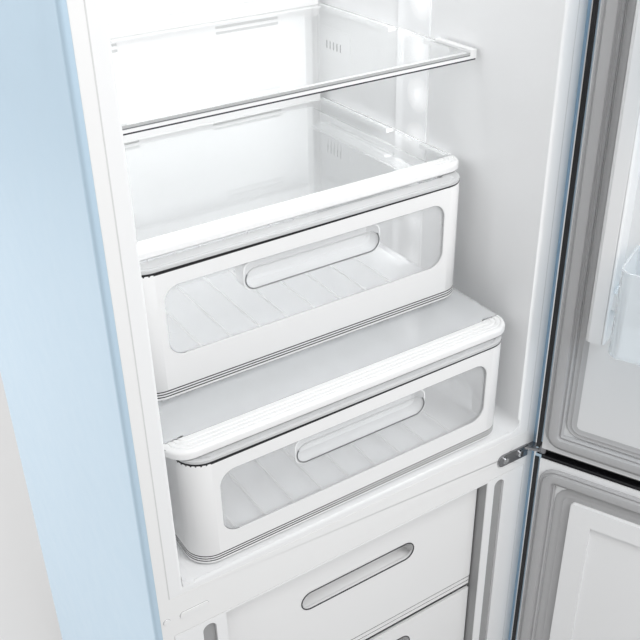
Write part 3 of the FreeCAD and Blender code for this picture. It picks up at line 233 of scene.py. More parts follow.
def surface(name, colour, variation, rough, rough_spread, grain, grain_height, metal=0.0, coat=0.0,
            stretch=(1.0, 1.0, 1.0)):
    """Opaque finish: colour that drifts a little, uneven roughness and a fine grain."""
    mat, tree, shader, coords = bare_material(name)
    second = tuple(max(0.0, c - variation) for c in colour)
    tree.links.new(tint(tree, noise(tree, coords, DRIFT_SCALE), colour, second), shader.inputs["Base Color"])
    patches = noise(tree, coords, PATCH_SCALE, 4.0, stretch)
    low, high = rough - rough_spread, rough + rough_spread
    tree.links.new(spread(tree, patches, low, high), shader.inputs["Roughness"])
    shader.inputs["Metallic"].default_value = metal
    shader.inputs["Coat Weight"].default_value = coat
    shader.inputs["Coat Roughness"].default_value = COAT_ROUGHNESS
    bump(tree, shader, noise(tree, coords, grain, 2.0, stretch), grain_height)
    return mat


def let_through(tree, behind, ray, colour):
    """Mixes in plain transparency for one kind of ray."""
    path = tree.nodes.new("ShaderNodeLightPath")
    through = tree.nodes.new("ShaderNodeBsdfTransparent")
    through.inputs["Color"].default_value = (*colour, 1.0)
    mix = tree.nodes.new("ShaderNodeMixShader")
    tree.links.new(path.outputs[ray], mix.inputs["Fac"])
    tree.links.new(behind, mix.inputs[1])
    tree.links.new(through.outputs["BSDF"], mix.inputs[2])
    return mix.outputs["Shader"]


def clear(name, colour, rough, ior, clarity):
    """Clear glass or plastic that lets lamps and soft light through, with faint smears."""
    mat, tree, shader, coords = bare_material(name)
    shader.inputs["Base Color"].default_value = (*colour, 1.0)
    shader.inputs["Transmission Weight"].default_value = clarity
    shader.inputs["IOR"].default_value = ior
    smears = noise(tree, coords, SMEAR_SCALE, 4.0)
    tree.links.new(spread(tree, smears, rough * 0.4, rough * 1.6), shader.inputs["Roughness"])
    soft = let_through(tree, shader.outputs["BSDF"], "Is Diffuse Ray", colour)
    lamp = let_through(tree, soft, "Is Shadow Ray", colour)
    tree.links.new(lamp, tree.nodes["Material Output"].inputs["Surface"])
    return mat


def math_node(tree, operation, first, second=0.0):
    """Value of a calculation on a socket and a number or a second socket."""
    node = tree.nodes.new("ShaderNodeMath")
    node.operation = operation
    for socket, value in zip(node.inputs, (first, second)):
        if isinstance(value, float):
            socket.default_value = value
        else:
            tree.links.new(value, socket)
    return node.outputs["Value"]


def light_material():
    """Milky diffuser with a soft bright spot in front of each diode."""
    mat, tree, shader, coords = bare_material("light_diffuser")
    shader.inputs["Base Color"].default_value = (0.80, 0.81, 0.82, 1.0)
    haze = noise(tree, coords, DIFFUSER_SCALE)
    tree.links.new(spread(tree, haze, 0.36, 0.46), shader.inputs["Roughness"])
    split = tree.nodes.new("ShaderNodeSeparateXYZ")
    tree.links.new(coords, split.inputs["Vector"])
    height = math_node(tree, "SUBTRACT", split.outputs["Z"], DIODE_Z)
    steps = math_node(tree, "ADD", math_node(tree, "DIVIDE", height, DIODE_PITCH), 0.5)
    part = math_node(tree, "SUBTRACT", math_node(tree, "FRACT", steps), 0.5)
    along = math_node(tree, "MULTIPLY", part, DIODE_PITCH)
    across = math_node(tree, "SUBTRACT", split.outputs["Y"], DIODE_Y)
    squares = [math_node(tree, "MULTIPLY", side, side) for side in (along, across)]
    away = math_node(tree, "SQRT", math_node(tree, "ADD", *squares))
    glow = tree.nodes.new("ShaderNodeMapRange")
    glow.inputs["From Min"].default_value = 0.0
    glow.inputs["From Max"].default_value = DIODE_REACH
    glow.inputs["To Min"].default_value = GLOW_AT_DIODE
    glow.inputs["To Max"].default_value = GLOW_BETWEEN
    tree.links.new(away, glow.inputs["Value"])
    shader.inputs["Emission Color"].default_value = WHITE
    tree.links.new(glow.outputs["Result"], shader.inputs["Emission Strength"])
    return mat


def galvanised_material():
    """Zinc sheet with its spangle."""
    mat, tree, shader, coords = bare_material("galvanised_zinc")
    cells = tree.nodes.new("ShaderNodeTexVoronoi")
    cells.inputs["Scale"].default_value = SPANGLE_SCALE
    tree.links.new(coords, cells.inputs["Vector"])
    colour = tint(tree, cells.outputs["Color"], (0.62, 0.64, 0.66), (0.46, 0.48, 0.50))
    tree.links.new(colour, shader.inputs["Base Color"])
    shader.inputs["Metallic"].default_value = 0.9
    tree.links.new(spread(tree, cells.outputs["Color"], 0.32, 0.5), shader.inputs["Roughness"])
    bump(tree, shader, cells.outputs["Distance"], 0.00005)
    return mat


# surface(): name, colour, drift of the colour, roughness, its spread, grain scale, grain height in metres.
# clear(): name, colour, roughness, index of refraction, clarity.
MATERIALS = {
    "pastel_blue_paint": surface("pastel_blue_enamel", (0.50, 0.645, 0.765), 0.008, 0.34, 0.03, 600.0,
                                 0.000002, coat=0.12),
    "white_steel": surface("white_enamel", (0.87, 0.87, 0.868), 0.004, 0.36, 0.02, 600.0, 0.000002),
    "liner_white": surface("liner_polystyrene", (0.875, 0.88, 0.885), 0.004, 0.36, 0.03, 420.0, 0.000003),
    "trim_white": surface("trim_plastic", (0.86, 0.86, 0.86), 0.003, 0.3, 0.02, 700.0, 0.000002),
    "clear_plastic": clear("clear_polystyrene", (0.985, 0.988, 0.992), 0.04, 1.18, 0.80),
    "shelf_glass": clear("toughened_glass", (0.988, 0.993, 0.993), 0.012, 1.25, 0.93),
    "light_cover": light_material(),
    "seal_grey": surface("seal_rubber", (0.46, 0.46, 0.465), 0.012, 0.5, 0.04, 900.0, 0.000005),
    "black_plastic": surface("black_moulded", (0.008, 0.008, 0.010), 0.003, 0.42, 0.06, 1100.0, 0.00001),
    "chrome": surface("polished_chrome", (0.86, 0.87, 0.88), 0.02, 0.07, 0.03, 300.0, 0.000001, metal=1.0),
    "hinge_steel": surface("plated_steel", (0.36, 0.36, 0.37), 0.10, 0.30, 0.08, 500.0, 0.000012, metal=1.0,
                           stretch=(0.1, 1.0, 1.0)),
    "foam": surface("polyurethane_foam", (0.85, 0.78, 0.52), 0.08, 0.9, 0.05, 700.0, 0.0003),
    "galvanised": galvanised_material(),
    "black_steel": surface("black_enamel", (0.016, 0.016, 0.018), 0.004, 0.33, 0.08, 260.0, 0.00002),
    "fin_aluminium": surface("mill_aluminium", (0.78, 0.79, 0.80), 0.04, 0.35, 0.08, 600.0, 0.000006,
                             metal=1.0),
    "foot_plastic": surface("foot_nylon", (0.03, 0.03, 0.032), 0.008, 0.5, 0.06, 800.0, 0.00001),
}
# Frosted rim plastic made grey: partly its own frosting, partly painted shade from the trim above it.
FROSTED_AND_SHADED = surface("frosted_polystyrene_and_shade", (0.60, 0.605, 0.61), 0.01, 0.34, 0.03, 900.0, 0.000003)
# Near-black painted shade for grooves, the line under a shelf trim and the ring round a freezer grip.
GROOVE_SHADE = surface("painted_groove_shade", (0.035, 0.035, 0.04), 0.01, 0.55, 0.05, 900.0, 0.000004)
# Darker and paler painted shade along edges: the shaded side of an outline and the rest of it.
DARK_EDGE_SHADE = surface("grip_edge_shade", (0.20, 0.205, 0.21), 0.02, 0.22, 0.03, 900.0, 0.000004)
PALE_EDGE_SHADE = surface("window_edge_shade", (0.52, 0.525, 0.53), 0.02, 0.25, 0.03, 900.0, 0.000004)
SOFT_GREY = surface("slot_shade", (0.40, 0.405, 0.41), 0.02, 0.6, 0.03, 900.0, 0.000004)
SLIT = surface("slit_shade", (0.15, 0.152, 0.155), 0.02, 0.6, 0.03, 900.0, 0.000004)
GROUND_EDGE = surface("ground_glass_edge", (0.47, 0.475, 0.475), 0.02, 0.4, 0.04, 900.0, 0.000006)
JOINT = surface("joint_grey", (0.70, 0.70, 0.70), 0.02, 0.5, 0.04, 900.0, 0.000004)
POCKET = clear("pocket_polystyrene", (0.975, 0.98, 0.985), 0.05, 1.12, 0.42)
RIB = surface("rib_polystyrene", (0.70, 0.705, 0.71), 0.01, 0.3, 0.03, 900.0, 0.000003)
# Liner plastic darkened for the door's inner face: painted shade on a face turned from the light.
DOOR_LINER_SHADE = surface("door_liner_shaded_polystyrene", (0.77, 0.775, 0.78), 0.006, 0.34, 0.03, 420.0, 0.000003)
BIN_CLEAR = clear("bin_polystyrene", (0.86, 0.89, 0.91), 0.05, 1.30, 0.58)
LID_GLASS = clear("milky_glass", (0.965, 0.975, 0.982), 0.01, 1.25, 0.70)
# Flat grey for the freezer flange's recess, and painted shade for the band inside the freezer's mouth.
RECESS_AND_SHADE_GREY = surface("recess_and_shade_grey", (0.35, 0.352, 0.355), 0.012, 0.45, 0.04, 900.0, 0.000004)


# ---------------------------------------------------------------- mesh helpers

UP = Vector((0, 0, 1))
FORWARD = Vector((0, -1, 0))
BACKWARD = Vector((0, 1, 0))
WELD_DISTANCE = 0.002 * MM
SHARP_DEGREES = 35
BEVEL_DEGREES = 40


def soften(piece, width, degrees):
    """Rounds the edges of a piece where its faces meet at more than an angle."""
    edge = piece.modifiers.new("bevel", "BEVEL")
    edge.width = width
    edge.segments = 2
    edge.limit_method = "ANGLE"
    edge.angle_limit = math.radians(degrees)


def finish_piece(name, bm, material, body, bevel=0.0):
    """Turns a mesh into a piece of the object with its material and body."""
    bmesh.ops.remove_doubles(bm, verts=bm.verts, dist=WELD_DISTANCE)
    bmesh.ops.recalc_face_normals(bm, faces=bm.faces)
    mesh = bpy.data.meshes.new(name)
    bm.to_mesh(mesh)
    bm.free()
    mesh.shade_smooth()
    mesh.set_sharp_from_angle(angle=math.radians(SHARP_DEGREES))
    piece = bpy.data.objects.new(name, mesh)
    scene.collection.objects.link(piece)
    mesh.materials.append(material)
    if bevel:
        soften(piece, bevel, BEVEL_DEGREES)
    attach(piece, body)
    return piece


def join_rings(bm, first, second):
    """Skin between two rings of as many points."""
    for j in range(len(first)):
        k = (j + 1) % len(first)
        bm.faces.new((first[j], first[k], second[k], second[j]))


def sweep(bm, path, section, closed):
    """Skin between copies of a section set square along a path. Section points are (out, up) from the
    path, where out lies to the right of the direction of travel and up is the path's own normal."""
    count = len(path)
    rings = []
    for i, (point, normal) in enumerate(path):
        before = path[(i - 1) % count][0] if closed or i else point
        after = path[(i + 1) % count][0] if closed or i < count - 1 else point
        along = (after - before).normalized()
        out = along.cross(normal).normalized()
        rings.append([bm.verts.new(point + out * a + normal * b) for a, b in section])
    for i in range(count if closed else count - 1):
        join_rings(bm, rings[i], rings[(i + 1) % count])
    if not closed:
        bm.faces.new(rings[0])
        bm.faces.new(list(reversed(rings[-1])))


def loft(bm, loops):
    """Closed skin through loops of points, with the first and last loop filled."""
    rings = [[bm.verts.new(p) for p in loop] for loop in loops]
    for first, second in zip(rings, rings[1:]):
        join_rings(bm, first, second)
    bm.faces.new(list(reversed(rings[0])))
    bm.faces.new(rings[-1])


def solid_box(bm, low, high):
    """Box between two corners."""
    middle = (Vector(low) + Vector(high)) / 2
    size = Vector(high) - Vector(low)
    place = Matrix.Translation(middle) @ Matrix.Diagonal((*size, 1.0))
    bmesh.ops.create_cube(bm, size=1.0, matrix=place)


def box_piece(name, boxes, material, body, bevel=0.0):
    """Piece made of plain boxes, each given by its two corners."""
    bm = bmesh.new()
    for low, high in boxes:
        solid_box(bm, low, high)
    finish_piece(name, bm, material, body, bevel)


def arc(cx, cz, r, start, end, steps=8):
    """Points on a quarter or half circle, angles in degrees."""
    angles = [math.radians(start + (end - start) * i / steps) for i in range(steps + 1)]
    return [(cx + r * math.cos(a), cz + r * math.sin(a)) for a in angles]


def round_rectangle(x0, x1, z0, z1, r, steps=8):
    """Outline of a rectangle with round corners, anticlockwise."""
    return (arc(x1 - r, z1 - r, r, 0, 90, steps) + arc(x0 + r, z1 - r, r, 90, 180, steps)
            + arc(x0 + r, z0 + r, r, 180, 270, steps) + arc(x1 - r, z0 + r, r, 270, 360, steps))


def wire_section(radius, sides=8):
    """Round section for a sweep."""
    turns = [2 * math.pi * i / sides for i in range(sides)]
    return [(radius * math.cos(a), radius * math.sin(a)) for a in turns]


def box_section(out0, out1, up0, up1):
    """Rectangular section for a sweep."""
    return [(out0, up0), (out1, up0), (out1, up1), (out0, up1)]


def front_ring(bm, outline, y, section, closed=True):
    """Sweeps a section round an outline that faces the front."""
    sweep(bm, [(Vector((x, y, z)), FORWARD) for x, z in outline], section, closed)


def split_outline(outline, first, last):
    """The points from one step to another of a closed outline, and the points of the rest."""
    count = len(outline)
    chosen = [outline[i % count] for i in range(first, last + 1)]
    rest = [outline[i % count] for i in range(last, count + first + 1)]
    return chosen, rest


def pierced_plate(bm, ys, zs, is_hole, x_wall, x_face):
    """Plate on a side wall in the cells of a grid, with the cells that is_hole picks left open."""
    rows, columns = len(zs) - 1, len(ys) - 1

    def solid(i, j):
        return 0 <= i < columns and 0 <= j < rows and not is_hole(i, j)

    def vert(x, i, j):
        return bm.verts.new((x, ys[i], zs[j]))

    for i in range(columns):
        for j in range(rows):
            if not solid(i, j):
                continue
            bm.faces.new([vert(x_face, *c) for c in ((i, j), (i + 1, j), (i + 1, j + 1), (i, j + 1))])
            walls = ((i - 1, j, (i, j), (i, j + 1)), (i + 1, j, (i + 1, j), (i + 1, j + 1)),
                     (i, j - 1, (i, j), (i + 1, j)), (i, j + 1, (i, j + 1), (i + 1, j + 1)))
            for n, m, start, end in walls:
                if not solid(n, m):
                    bm.faces.new((vert(x_face, *start), vert(x_face, *end), vert(x_wall, *end),
                                  vert(x_wall, *start)))


# ---------------------------------------------------------------- carried-over nodes

BEVELS = {"trim_white": 0.5 * MM, "white_steel": 0.6 * MM, "hinge_steel": 0.4 * MM,
          "black_plastic": 0.4 * MM}
NODE_WELD = 0.01 * MM
NODE_BEVEL_DEGREES = 60


def dress_frame():
    """Gives each CAD node its finish, joined faces and softened edges."""
    for part in frame["record"]["subparts"]:
        node = NODES[part["node"]]
        node.data.materials.clear()
        node.data.materials.append(MATERIALS[part["material_slot"]])
        weld = node.modifiers.new("weld", "WELD")
        weld.merge_threshold = NODE_WELD
        if part["material_slot"] in BEVELS:
            soften(node, BEVELS[part["material_slot"]], NODE_BEVEL_DEGREES)
    NODES["crisper_lower_lid_glass"].data.materials[0] = LID_GLASS
    NODES["hinge_screws"].data.materials[0] = MATERIALS["chrome"]
    for level in ("lower", "middle", "upper"):
        NODES["door_bin_" + level].data.materials[0] = BIN_CLEAR
    # The fridge door's liner gets the darker liner colour: painted shade.
    NODES["fridge_door_liner"].data.materials[0] = DOOR_LINER_SHADE


# ---------------------------------------------------------------- crispers

# Each crisper: body, underside of its rim, foot of its front, window from and to, its ledge's height.
CRISPERS = (("crisper_upper", 1.081, 0.917, (0.970, 1.060), 1.052),
            ("crisper_lower", 0.892, 0.744, (0.780, 0.871), 0.862))
CRISPER_HALF = 235.0 * MM
CRISPER_CORNER = 30.0 * MM
CRISPER_REACH = 58.0 * MM
CRISPER_DEPTH = 356.0 * MM
GRIP_HALF = 94.5 * MM
GRIP_R = 13.5 * MM
GRIP_ROUND = 0.999
GRIP_DROP = 48.5 * MM
GRIP_INSET = 2.3 * MM
WINDOW_HALF = 197.0 * MM
WINDOW_R = 20.0 * MM
WINDOW_INSET = 1.6 * MM
# Points of an outline, nine to a corner, between which its edge has the darker painted shade.
WINDOW_DARK = (13, 26)
GRIP_DARK = (14, 40)
# Radii of the darker and the paler painted shade along an edge.
WINDOW_WIRES = (0.45 * MM, 0.4 * MM)
GRIP_WIRES = (0.75 * MM, 0.5 * MM)
RIM_T = 4.0 * MM
RIM_DEPTH = 22.0 * MM
RIM_BEVEL = 0.5 * MM
# Black strip in the gap under a crisper's rim, just proud of the front: painted shadow, thinner towards +X.
RIM_GAP = 3.7 * MM
GAP_DEPTH = 2.0 * MM
GAP_PROUD = 0.04 * MM
GAP_DROP = 0.02 * MM
SHADOW_TAPER = 0.66
# Heights in mm of the crisper's foot grooves that get near-black painted shade.
FOOT_LINES = (3.6, 7.1, 10.6)
FOOT_LINE_DEPTH = 0.7 * MM
FOOT_LINE_HALF = 0.66 * MM
FOOT_LINE_PROUD = 0.02 * MM
BIN_HALF = 222.0 * MM
BIN_FRONT_R = 18.0 * MM
BIN_BACK_R = 9.0 * MM
BIN_INSET = 3.4 * MM
BIN_T = 2.2 * MM
BIN_FLOOR_UP = 3.0 * MM
# Rolled edge of a tub's floor: inset and height in mm.
BIN_ROLL = ((7.0, 0.0), (2.6, 1.0), (0.8, 3.4), (0.0, 8.0))
RUNNER_X = 247.8 * MM
RUNNER_Y = 64.0 * MM
RUNNER_LAP = 0.5 * MM
RUNNER_END = 1.0 * MM
RUNNER_UP = (0.4 * MM, 3.2 * MM)
# Walls of the grip's pocket from its back to its mouth and inside again: inset and depth in mm.
POCKET_WALLS = ((3.0, 25.0), (0.0, 21.0), (0.0, 0.4), (1.5, 0.4), (1.5, 20.0), (4.4, 23.4))
POCKET_INSET = 3.0 * MM
# How far the pocket stands out past the hole, at its sides and foot and at its roof, in mm.
POCKET_SIDE = 2.0
POCKET_ROOF = 9.0
POCKET_R = 12.0
RIBS_EACH_SIDE = 4
RIB_PITCH = 42.0 * MM
RIB_ENDS = (0.030, 0.335)
RIB_FOOT = 2.3 * MM
RIB_SECTION = [(-1.6 * MM, 0.0), (-0.9 * MM, 0.4 * MM), (0.0, 0.6 * MM), (0.9 * MM, 0.4 * MM),
               (1.6 * MM, 0.0)]


def front_path(y, z, half, corner, reach):
    """Path round a straight front with two round corners, at one height."""
    left = arc(-half + corner, y + corner, corner, 180, 270)
    right = arc(half - corner, y + corner, corner, 270, 360)
    ends = [(-half, y + reach)] + left + right + [(half, y + reach)]
    return [(Vector((x, w, z)), UP) for x, w in ends]


def crisper_path(y, z, inset):
    """Path round the front panel of a crisper, set in from its outer face."""
    return front_path(y + inset, z, CRISPER_HALF - inset, CRISPER_CORNER - inset, CRISPER_REACH)


def bin_outline(y0, y1, inset):
    """Plan of a crisper's tub: large front corners, small back corners."""
    half = BIN_HALF - inset
    front, back = BIN_FRONT_R - inset / 2, BIN_BACK_R - inset / 2
    low, high = y0 + inset, y1 - inset
    return (arc(half - back, high - back, back, 0, 90, 4) + arc(-half + back, high - back, back, 90, 180, 4)
            + arc(-half + front, low + front, front, 180, 270, 6)
            + arc(half - front, low + front, front, 270, 360, 6))


def crisper_tub(body, rim, floor_z, ledge):
    """Clear tub with a rolled floor edge, a collar and two runners."""
    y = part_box(body + "_front")[0][1]
    y0, y1 = y + BIN_INSET, y + CRISPER_DEPTH
    top = rim - floor_z
    profile = [(inset * MM, up * MM) for inset, up in BIN_ROLL] + [(0.0, top)]
    profile += [(0.0, top + RIM_T), (BIN_T, top + RIM_T)]
    profile += [(inset * MM + BIN_T, up * MM + BIN_T) for inset, up in reversed(BIN_ROLL)]
    tub = bmesh.new()
    loft(tub, [[(x, w, floor_z + up) for x, w in bin_outline(y0, y1, inset)] for inset, up in profile])
    for side in (-1, 1):
        left, right = sorted((side * (BIN_HALF - RUNNER_LAP), side * RUNNER_X))
        under, over = (ledge + up for up in RUNNER_UP)
        solid_box(tub, (left, y + RUNNER_Y, under), (right, y1 - RUNNER_END, over))
    piece = finish_piece(body + "_tub", tub, MATERIALS["clear_plastic"], body)
    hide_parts(body + "_bin")


def grip_pocket(body, rim):
    """Thin open pocket behind a crisper's grip, its roof higher than the hole."""
    y0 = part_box(body + "_front")[0][1] + POCKET_INSET
    z = rim + RIM_T - GRIP_DROP
    walls = []
    for inset, depth in POCKET_WALLS:
        side = (POCKET_SIDE - inset) * MM
        low, high = z - GRIP_R - side, z + GRIP_R + (POCKET_ROOF - inset) * MM
        outline = round_rectangle(-GRIP_HALF - side, GRIP_HALF + side, low, high, (POCKET_R - inset) * MM)
        walls.append([(x, y0 + depth * MM, w) for x, w in outline])
    pocket = bmesh.new()
    loft(pocket, walls)
    finish_piece(body + "_grip_pocket", pocket, POCKET, body)


def crisper_ribs(body, floor_z):
    """Low half-round ribs along a crisper's floor."""
    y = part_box(body + "_front")[0][1]
    ribs = bmesh.new()
    for i in range(-RIBS_EACH_SIDE, RIBS_EACH_SIDE + 1):
        path = [(Vector((i * RIB_PITCH, y + d, floor_z + RIB_FOOT)), UP) for d in RIB_ENDS]
        sweep(ribs, path, RIB_SECTION, False)
    finish_piece(body + "_ribs", ribs, RIB, body)


def edge_pair(name, body, parts, y, dark_r, light_r):
    """Painted shade along the moulded edge of an opening: darker along one part of its outline, paler along
    the rest.
    """
    dark, light = parts
    for part, points, material, r in (("low", dark, DARK_EDGE_SHADE, dark_r), ("high", light, PALE_EDGE_SHADE, light_r)):
        wire = bmesh.new()
        front_ring(wire, points, y, wire_section(r), False)
        finish_piece(f"{name}_{part}", wire, material, body)


def crisper_details(body, rim, window):
    """Frosted rim greyed with painted shade, painted shadow in the gap under it, painted shade in the foot
    grooves and along the window edge and grip edge of one crisper.
    """
    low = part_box(body + "_front")[0]
    y = low[1]
    band = bmesh.new()
    sweep(band, crisper_path(y, rim, 0.0), box_section(-RIM_DEPTH, 0.0, 0.0, RIM_T), False)
    finish_piece(body + "_rim", band, FROSTED_AND_SHADED, body, RIM_BEVEL)
    # Painted shadow: black strip in the gap under the rim, just proud of the front, thinner towards +X.
    gap = bmesh.new()
    sweep(gap, crisper_path(y, rim, -GAP_PROUD), box_section(-GAP_DEPTH, 0.0, -RIM_GAP, 0.0), False)
    for vert in gap.verts:
        across = (vert.co.x + CRISPER_HALF) / (2 * CRISPER_HALF)
        vert.co.z = rim - GAP_DROP + (vert.co.z - rim) * (1.0 - SHADOW_TAPER * across)
    finish_piece(body + "_gap_shadow", gap, MATERIALS["black_plastic"], body)
    # Near-black painted shade in the foot grooves.
    lines = bmesh.new()
    for up in FOOT_LINES:
        sweep(lines, crisper_path(y, low[2] + up * MM, -FOOT_LINE_PROUD),
              box_section(-FOOT_LINE_DEPTH, 0.0, -FOOT_LINE_HALF, FOOT_LINE_HALF), False)
    finish_piece(body + "_foot_lines", lines, GROOVE_SHADE, body)
    # Painted shade round the window and the grip, darker on one part of each outline.
    outline = round_rectangle(-WINDOW_HALF, WINDOW_HALF, window[0], window[1], WINDOW_R)
    parts = split_outline(outline, *WINDOW_DARK)
    edge_pair(body + "_window_edge_shade", body, parts, y + WINDOW_INSET, *WINDOW_WIRES)
    z = rim + RIM_T - GRIP_DROP
    outline = round_rectangle(-GRIP_HALF, GRIP_HALF, z - GRIP_R, z + GRIP_R, GRIP_R * GRIP_ROUND)
    parts = split_outline(outline, *GRIP_DARK)
    edge_pair(body + "_grip_edge_shade", body, parts, y + GRIP_INSET, *GRIP_WIRES)


# ---------------------------------------------------------------- shelf trims

TRIM_NOSE = 4.5
TRIM_HEIGHT = 12.0
COVER_TRIM_DEPTH = 25.0
LID_TRIM_DEPTH = 28.0
TRIM_GROOVES = (5.5, 12.0, 18.5)
GROOVE_DEEP = 1.1
REAR_END = 8 * MM
REAR_DEPTH = 3.5 * MM
REAR_HEIGHT = 22 * MM
GLASS_MIDDLE = 1.3 * MM
GLASS_EDGE = 0.45 * MM
GLASS_END = 10 * MM


def trim_section(depth):
    """Stepped front trim seen from its end: round nose, fine grooves along its top."""
    flat = TRIM_HEIGHT - GROOVE_DEEP
    nose = TRIM_HEIGHT - TRIM_NOSE
    points = [(-depth, 0.0), (-2.0, 0.0), (0.0, 2.0), (0.0, nose)]
    points += arc(-TRIM_NOSE, nose, TRIM_NOSE, 0, 90, 5)[1:]
    for groove in TRIM_GROOVES:
        points += [(-groove, TRIM_HEIGHT), (-groove - 0.6, flat), (-groove - 2.6, flat),
                   (-groove - 3.2, TRIM_HEIGHT)]
    points.append((-depth, TRIM_HEIGHT))
    return [(a * MM, b * MM) for a, b in points]


def stepped_trim(name, node, body, depth, rear=None):
    """Front trim of a glass plate in place of its plain one, and its rear strip if it has one."""
    low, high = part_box(node)
    trim = bmesh.new()
    corner = (depth + 1.0) * MM
    path = front_path(low[1], low[2], high[0], corner, corner + 0.2 * MM)
    sweep(trim, path, trim_section(depth), False)
    if rear:
        solid_box(trim, *rear)
    piece = finish_piece(name, trim, MATERIALS["trim_white"], body)
    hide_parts(node)


def glass_trims():
    """Trims of the crisper cover and of the lower crisper's lid."""
    low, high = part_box("shelf_crisper_trims")
    rear = ((low[0] + REAR_END, high[1] - REAR_DEPTH, high[2] - REAR_HEIGHT),
            (high[0] - REAR_END, high[1], high[2]))
    stepped_trim("crisper_cover_trims", "shelf_crisper_trims", "cabinet", COVER_TRIM_DEPTH, rear)
    stepped_trim("crisper_lid_trim", "crisper_lower_lid_trim", "crisper_lower", LID_TRIM_DEPTH)


def shelf_edges():
    """Ground front edge of each loose shelf's glass with painted shade on its lower half, and a line of
    painted shadow under its slim trim.
    """
    for shelf in ("shelf_middle", "shelf_top"):
        low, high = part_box(shelf + "_trims")
        y = low[1]
        z0, z1 = (corner[2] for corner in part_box(shelf + "_glass"))
        middle = z0 + GLASS_MIDDLE
        half = high[0] - GLASS_END
        upper = ((-half, y + 0.05 * MM, middle), (half, y + GLASS_EDGE, z1 - 0.1 * MM))
        box_piece(shelf + "_ground_edge", [upper], GROUND_EDGE, shelf)
        # Painted shade on the lower half of the glass's front edge.
        lower = ((-half, y + 0.03 * MM, z0), (half, y + GLASS_EDGE, middle))
        box_piece(shelf + "_edge_shade", [lower], DARK_EDGE_SHADE, shelf)
        # Line of painted shadow under the trim.
        line = ((low[0] + 1 * MM, y - 0.05 * MM, low[2] + 0.02 * MM),
                (high[0] - 1 * MM, y + 2 * MM, low[2] + 1.7 * MM))
        box_piece(shelf + "_foot_line", [line], GROOVE_SHADE, shelf)


# ---------------------------------------------------------------- cabinet details

FRAME_FACE = -0.2900
# Outlines of the two snap-in covers on the mullion: left, right, foot, top, corner radius.
PLUGS = ((-0.2671, -0.2299, 0.6929, 0.7021, 4.3 * MM), (-0.2881, -0.2799, 0.6939, 0.7021, 4.09 * MM))
PLUG_WIRE = 0.45 * MM
GLASS_BODIES = (("shelf_middle_glass", "shelf_middle"), ("shelf_top_glass", "shelf_top"),
                ("shelf_crisper_glass", "cabinet"), ("crisper_lower_lid_glass", "crisper_lower"))
GROUND_WIDTH = 0.9 * MM
GROUND_FRONT = 30 * MM
GROUND_REAR = 12 * MM
GROUND_UP = (0.02 * MM, 0.18 * MM)

# Small vents in the side walls.
WALL_X = 259.0 * MM
VENT_Z = (("upper", 1.157), ("lower", 0.990))
VENT_SLITS = 5
VENT_ENDS = (0.122, 0.195)
SLIT_Y = 0.146
SLIT_PITCH = 0.0092
SLIT_WIDTH = 0.0036
SLIT_FOOT = 0.010
SLIT_TOP = 0.022
VENT_HEIGHT = 0.042
SHADE_Y = (0.143, 0.190)
SHADE_UP = (0.008, 0.024)
VENT_T = 0.8 * MM
VENT_BEVEL = 0.2 * MM
SHADE_T = 0.2 * MM

# Air slots in the duct cover on the back wall.
SLOT_ROWS = 6
SLOT_Z = 1.0855
SLOT_ROW_PITCH = 0.1375
SLOT_PITCH = 0.008
SLOT_HALF = 1.9 * MM
SLOT_Y = (0.1902, 0.1915)
SLOT_GAP = 0.1 * MM
SLOT_OUTER = 0.177
SLOT_INNER = 0.074
SLOT_INNER_LOWEST = 0.059

# Round inner corner of the fridge liner's floor.
CORNER_R = 16.0 * MM
CORNER_WALL = 0.2591
CORNER_FLOOR = 0.7399
CORNER_Y = (-0.2899, 0.2135)
CORNER_BEVEL = 1.2 * MM

# Joint between the frame and the liners.
JOINT_X = 0.2772
JOINT_HALF = 0.7 * MM
JOINT_BEVEL = 0.2 * MM
JOINT_Y = (-0.2902, -0.2889)
JOINT_Z = ((0.098, 0.6694), (0.7307, 1.904))

# Freezer: flat grey in the flange's recess, band of painted shade inside the mouth, drawers and the heights
# of their grips.
FLANGE_SHEET_X = 0.232
FLANGE_SHEET_HALF = 8.8 * MM
FLANGE_SHEET_R = 8.79 * MM
FLANGE_SHEET_Y = (-0.2856, -0.2852)
FLANGE_SHEET_Z = (0.1212, 0.6618)
BAND_X = (0.2087, 0.2091)
BAND_Y = (-0.2885, -0.2690)
BAND_Z = (0.110, 0.6655)
DRAWER_GRIPS = (("top", 0.593), ("middle", 0.403), ("bottom", 0.187))
DRAWER_GROOVES = (8.5, 16.5)
DRAWER_GROOVE_Y = (0.95 * MM, 1.7 * MM)
DRAWER_GROOVE_HALF = 0.6 * MM
DRAWER_FOOT_Y = (0.9 * MM, 3.0 * MM)
DRAWER_FOOT_Z = (-0.1 * MM, 1.4 * MM)
DRAWER_END = 0.3 * MM
DRAWER_GRIP_HALF = 0.093
DRAWER_GRIP_R = 0.015
DRAWER_GRIP_WIRE = 0.9 * MM
DRAWER_GRIP_PROUD = 0.1 * MM


def glass_sides():
    """Ground bevel along both sides of each glass plate."""
    for glass, body in GLASS_BODIES:
        low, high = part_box(glass)
        y0, y1 = low[1] + GROUND_FRONT, high[1] - GROUND_REAR
        z0, z1 = (high[2] + up for up in GROUND_UP)
        sides = ((low[0], low[0] + GROUND_WIDTH), (high[0] - GROUND_WIDTH, high[0]))
        box_piece(glass + "_side_bevels", [((x0, y0, z0), (x1, y1, z1)) for x0, x1 in sides], GROUND_EDGE,
                  body)


def plug_edges():
    """Shaded foot round the two snap-in covers on the mullion."""
    rings = bmesh.new()
    for plug in PLUGS:
        front_ring(rings, round_rectangle(*plug, 4), FRAME_FACE, wire_section(PLUG_WIRE))
    finish_piece("mullion_plug_edges", rings, PALE_EDGE_SHADE, "cabinet")


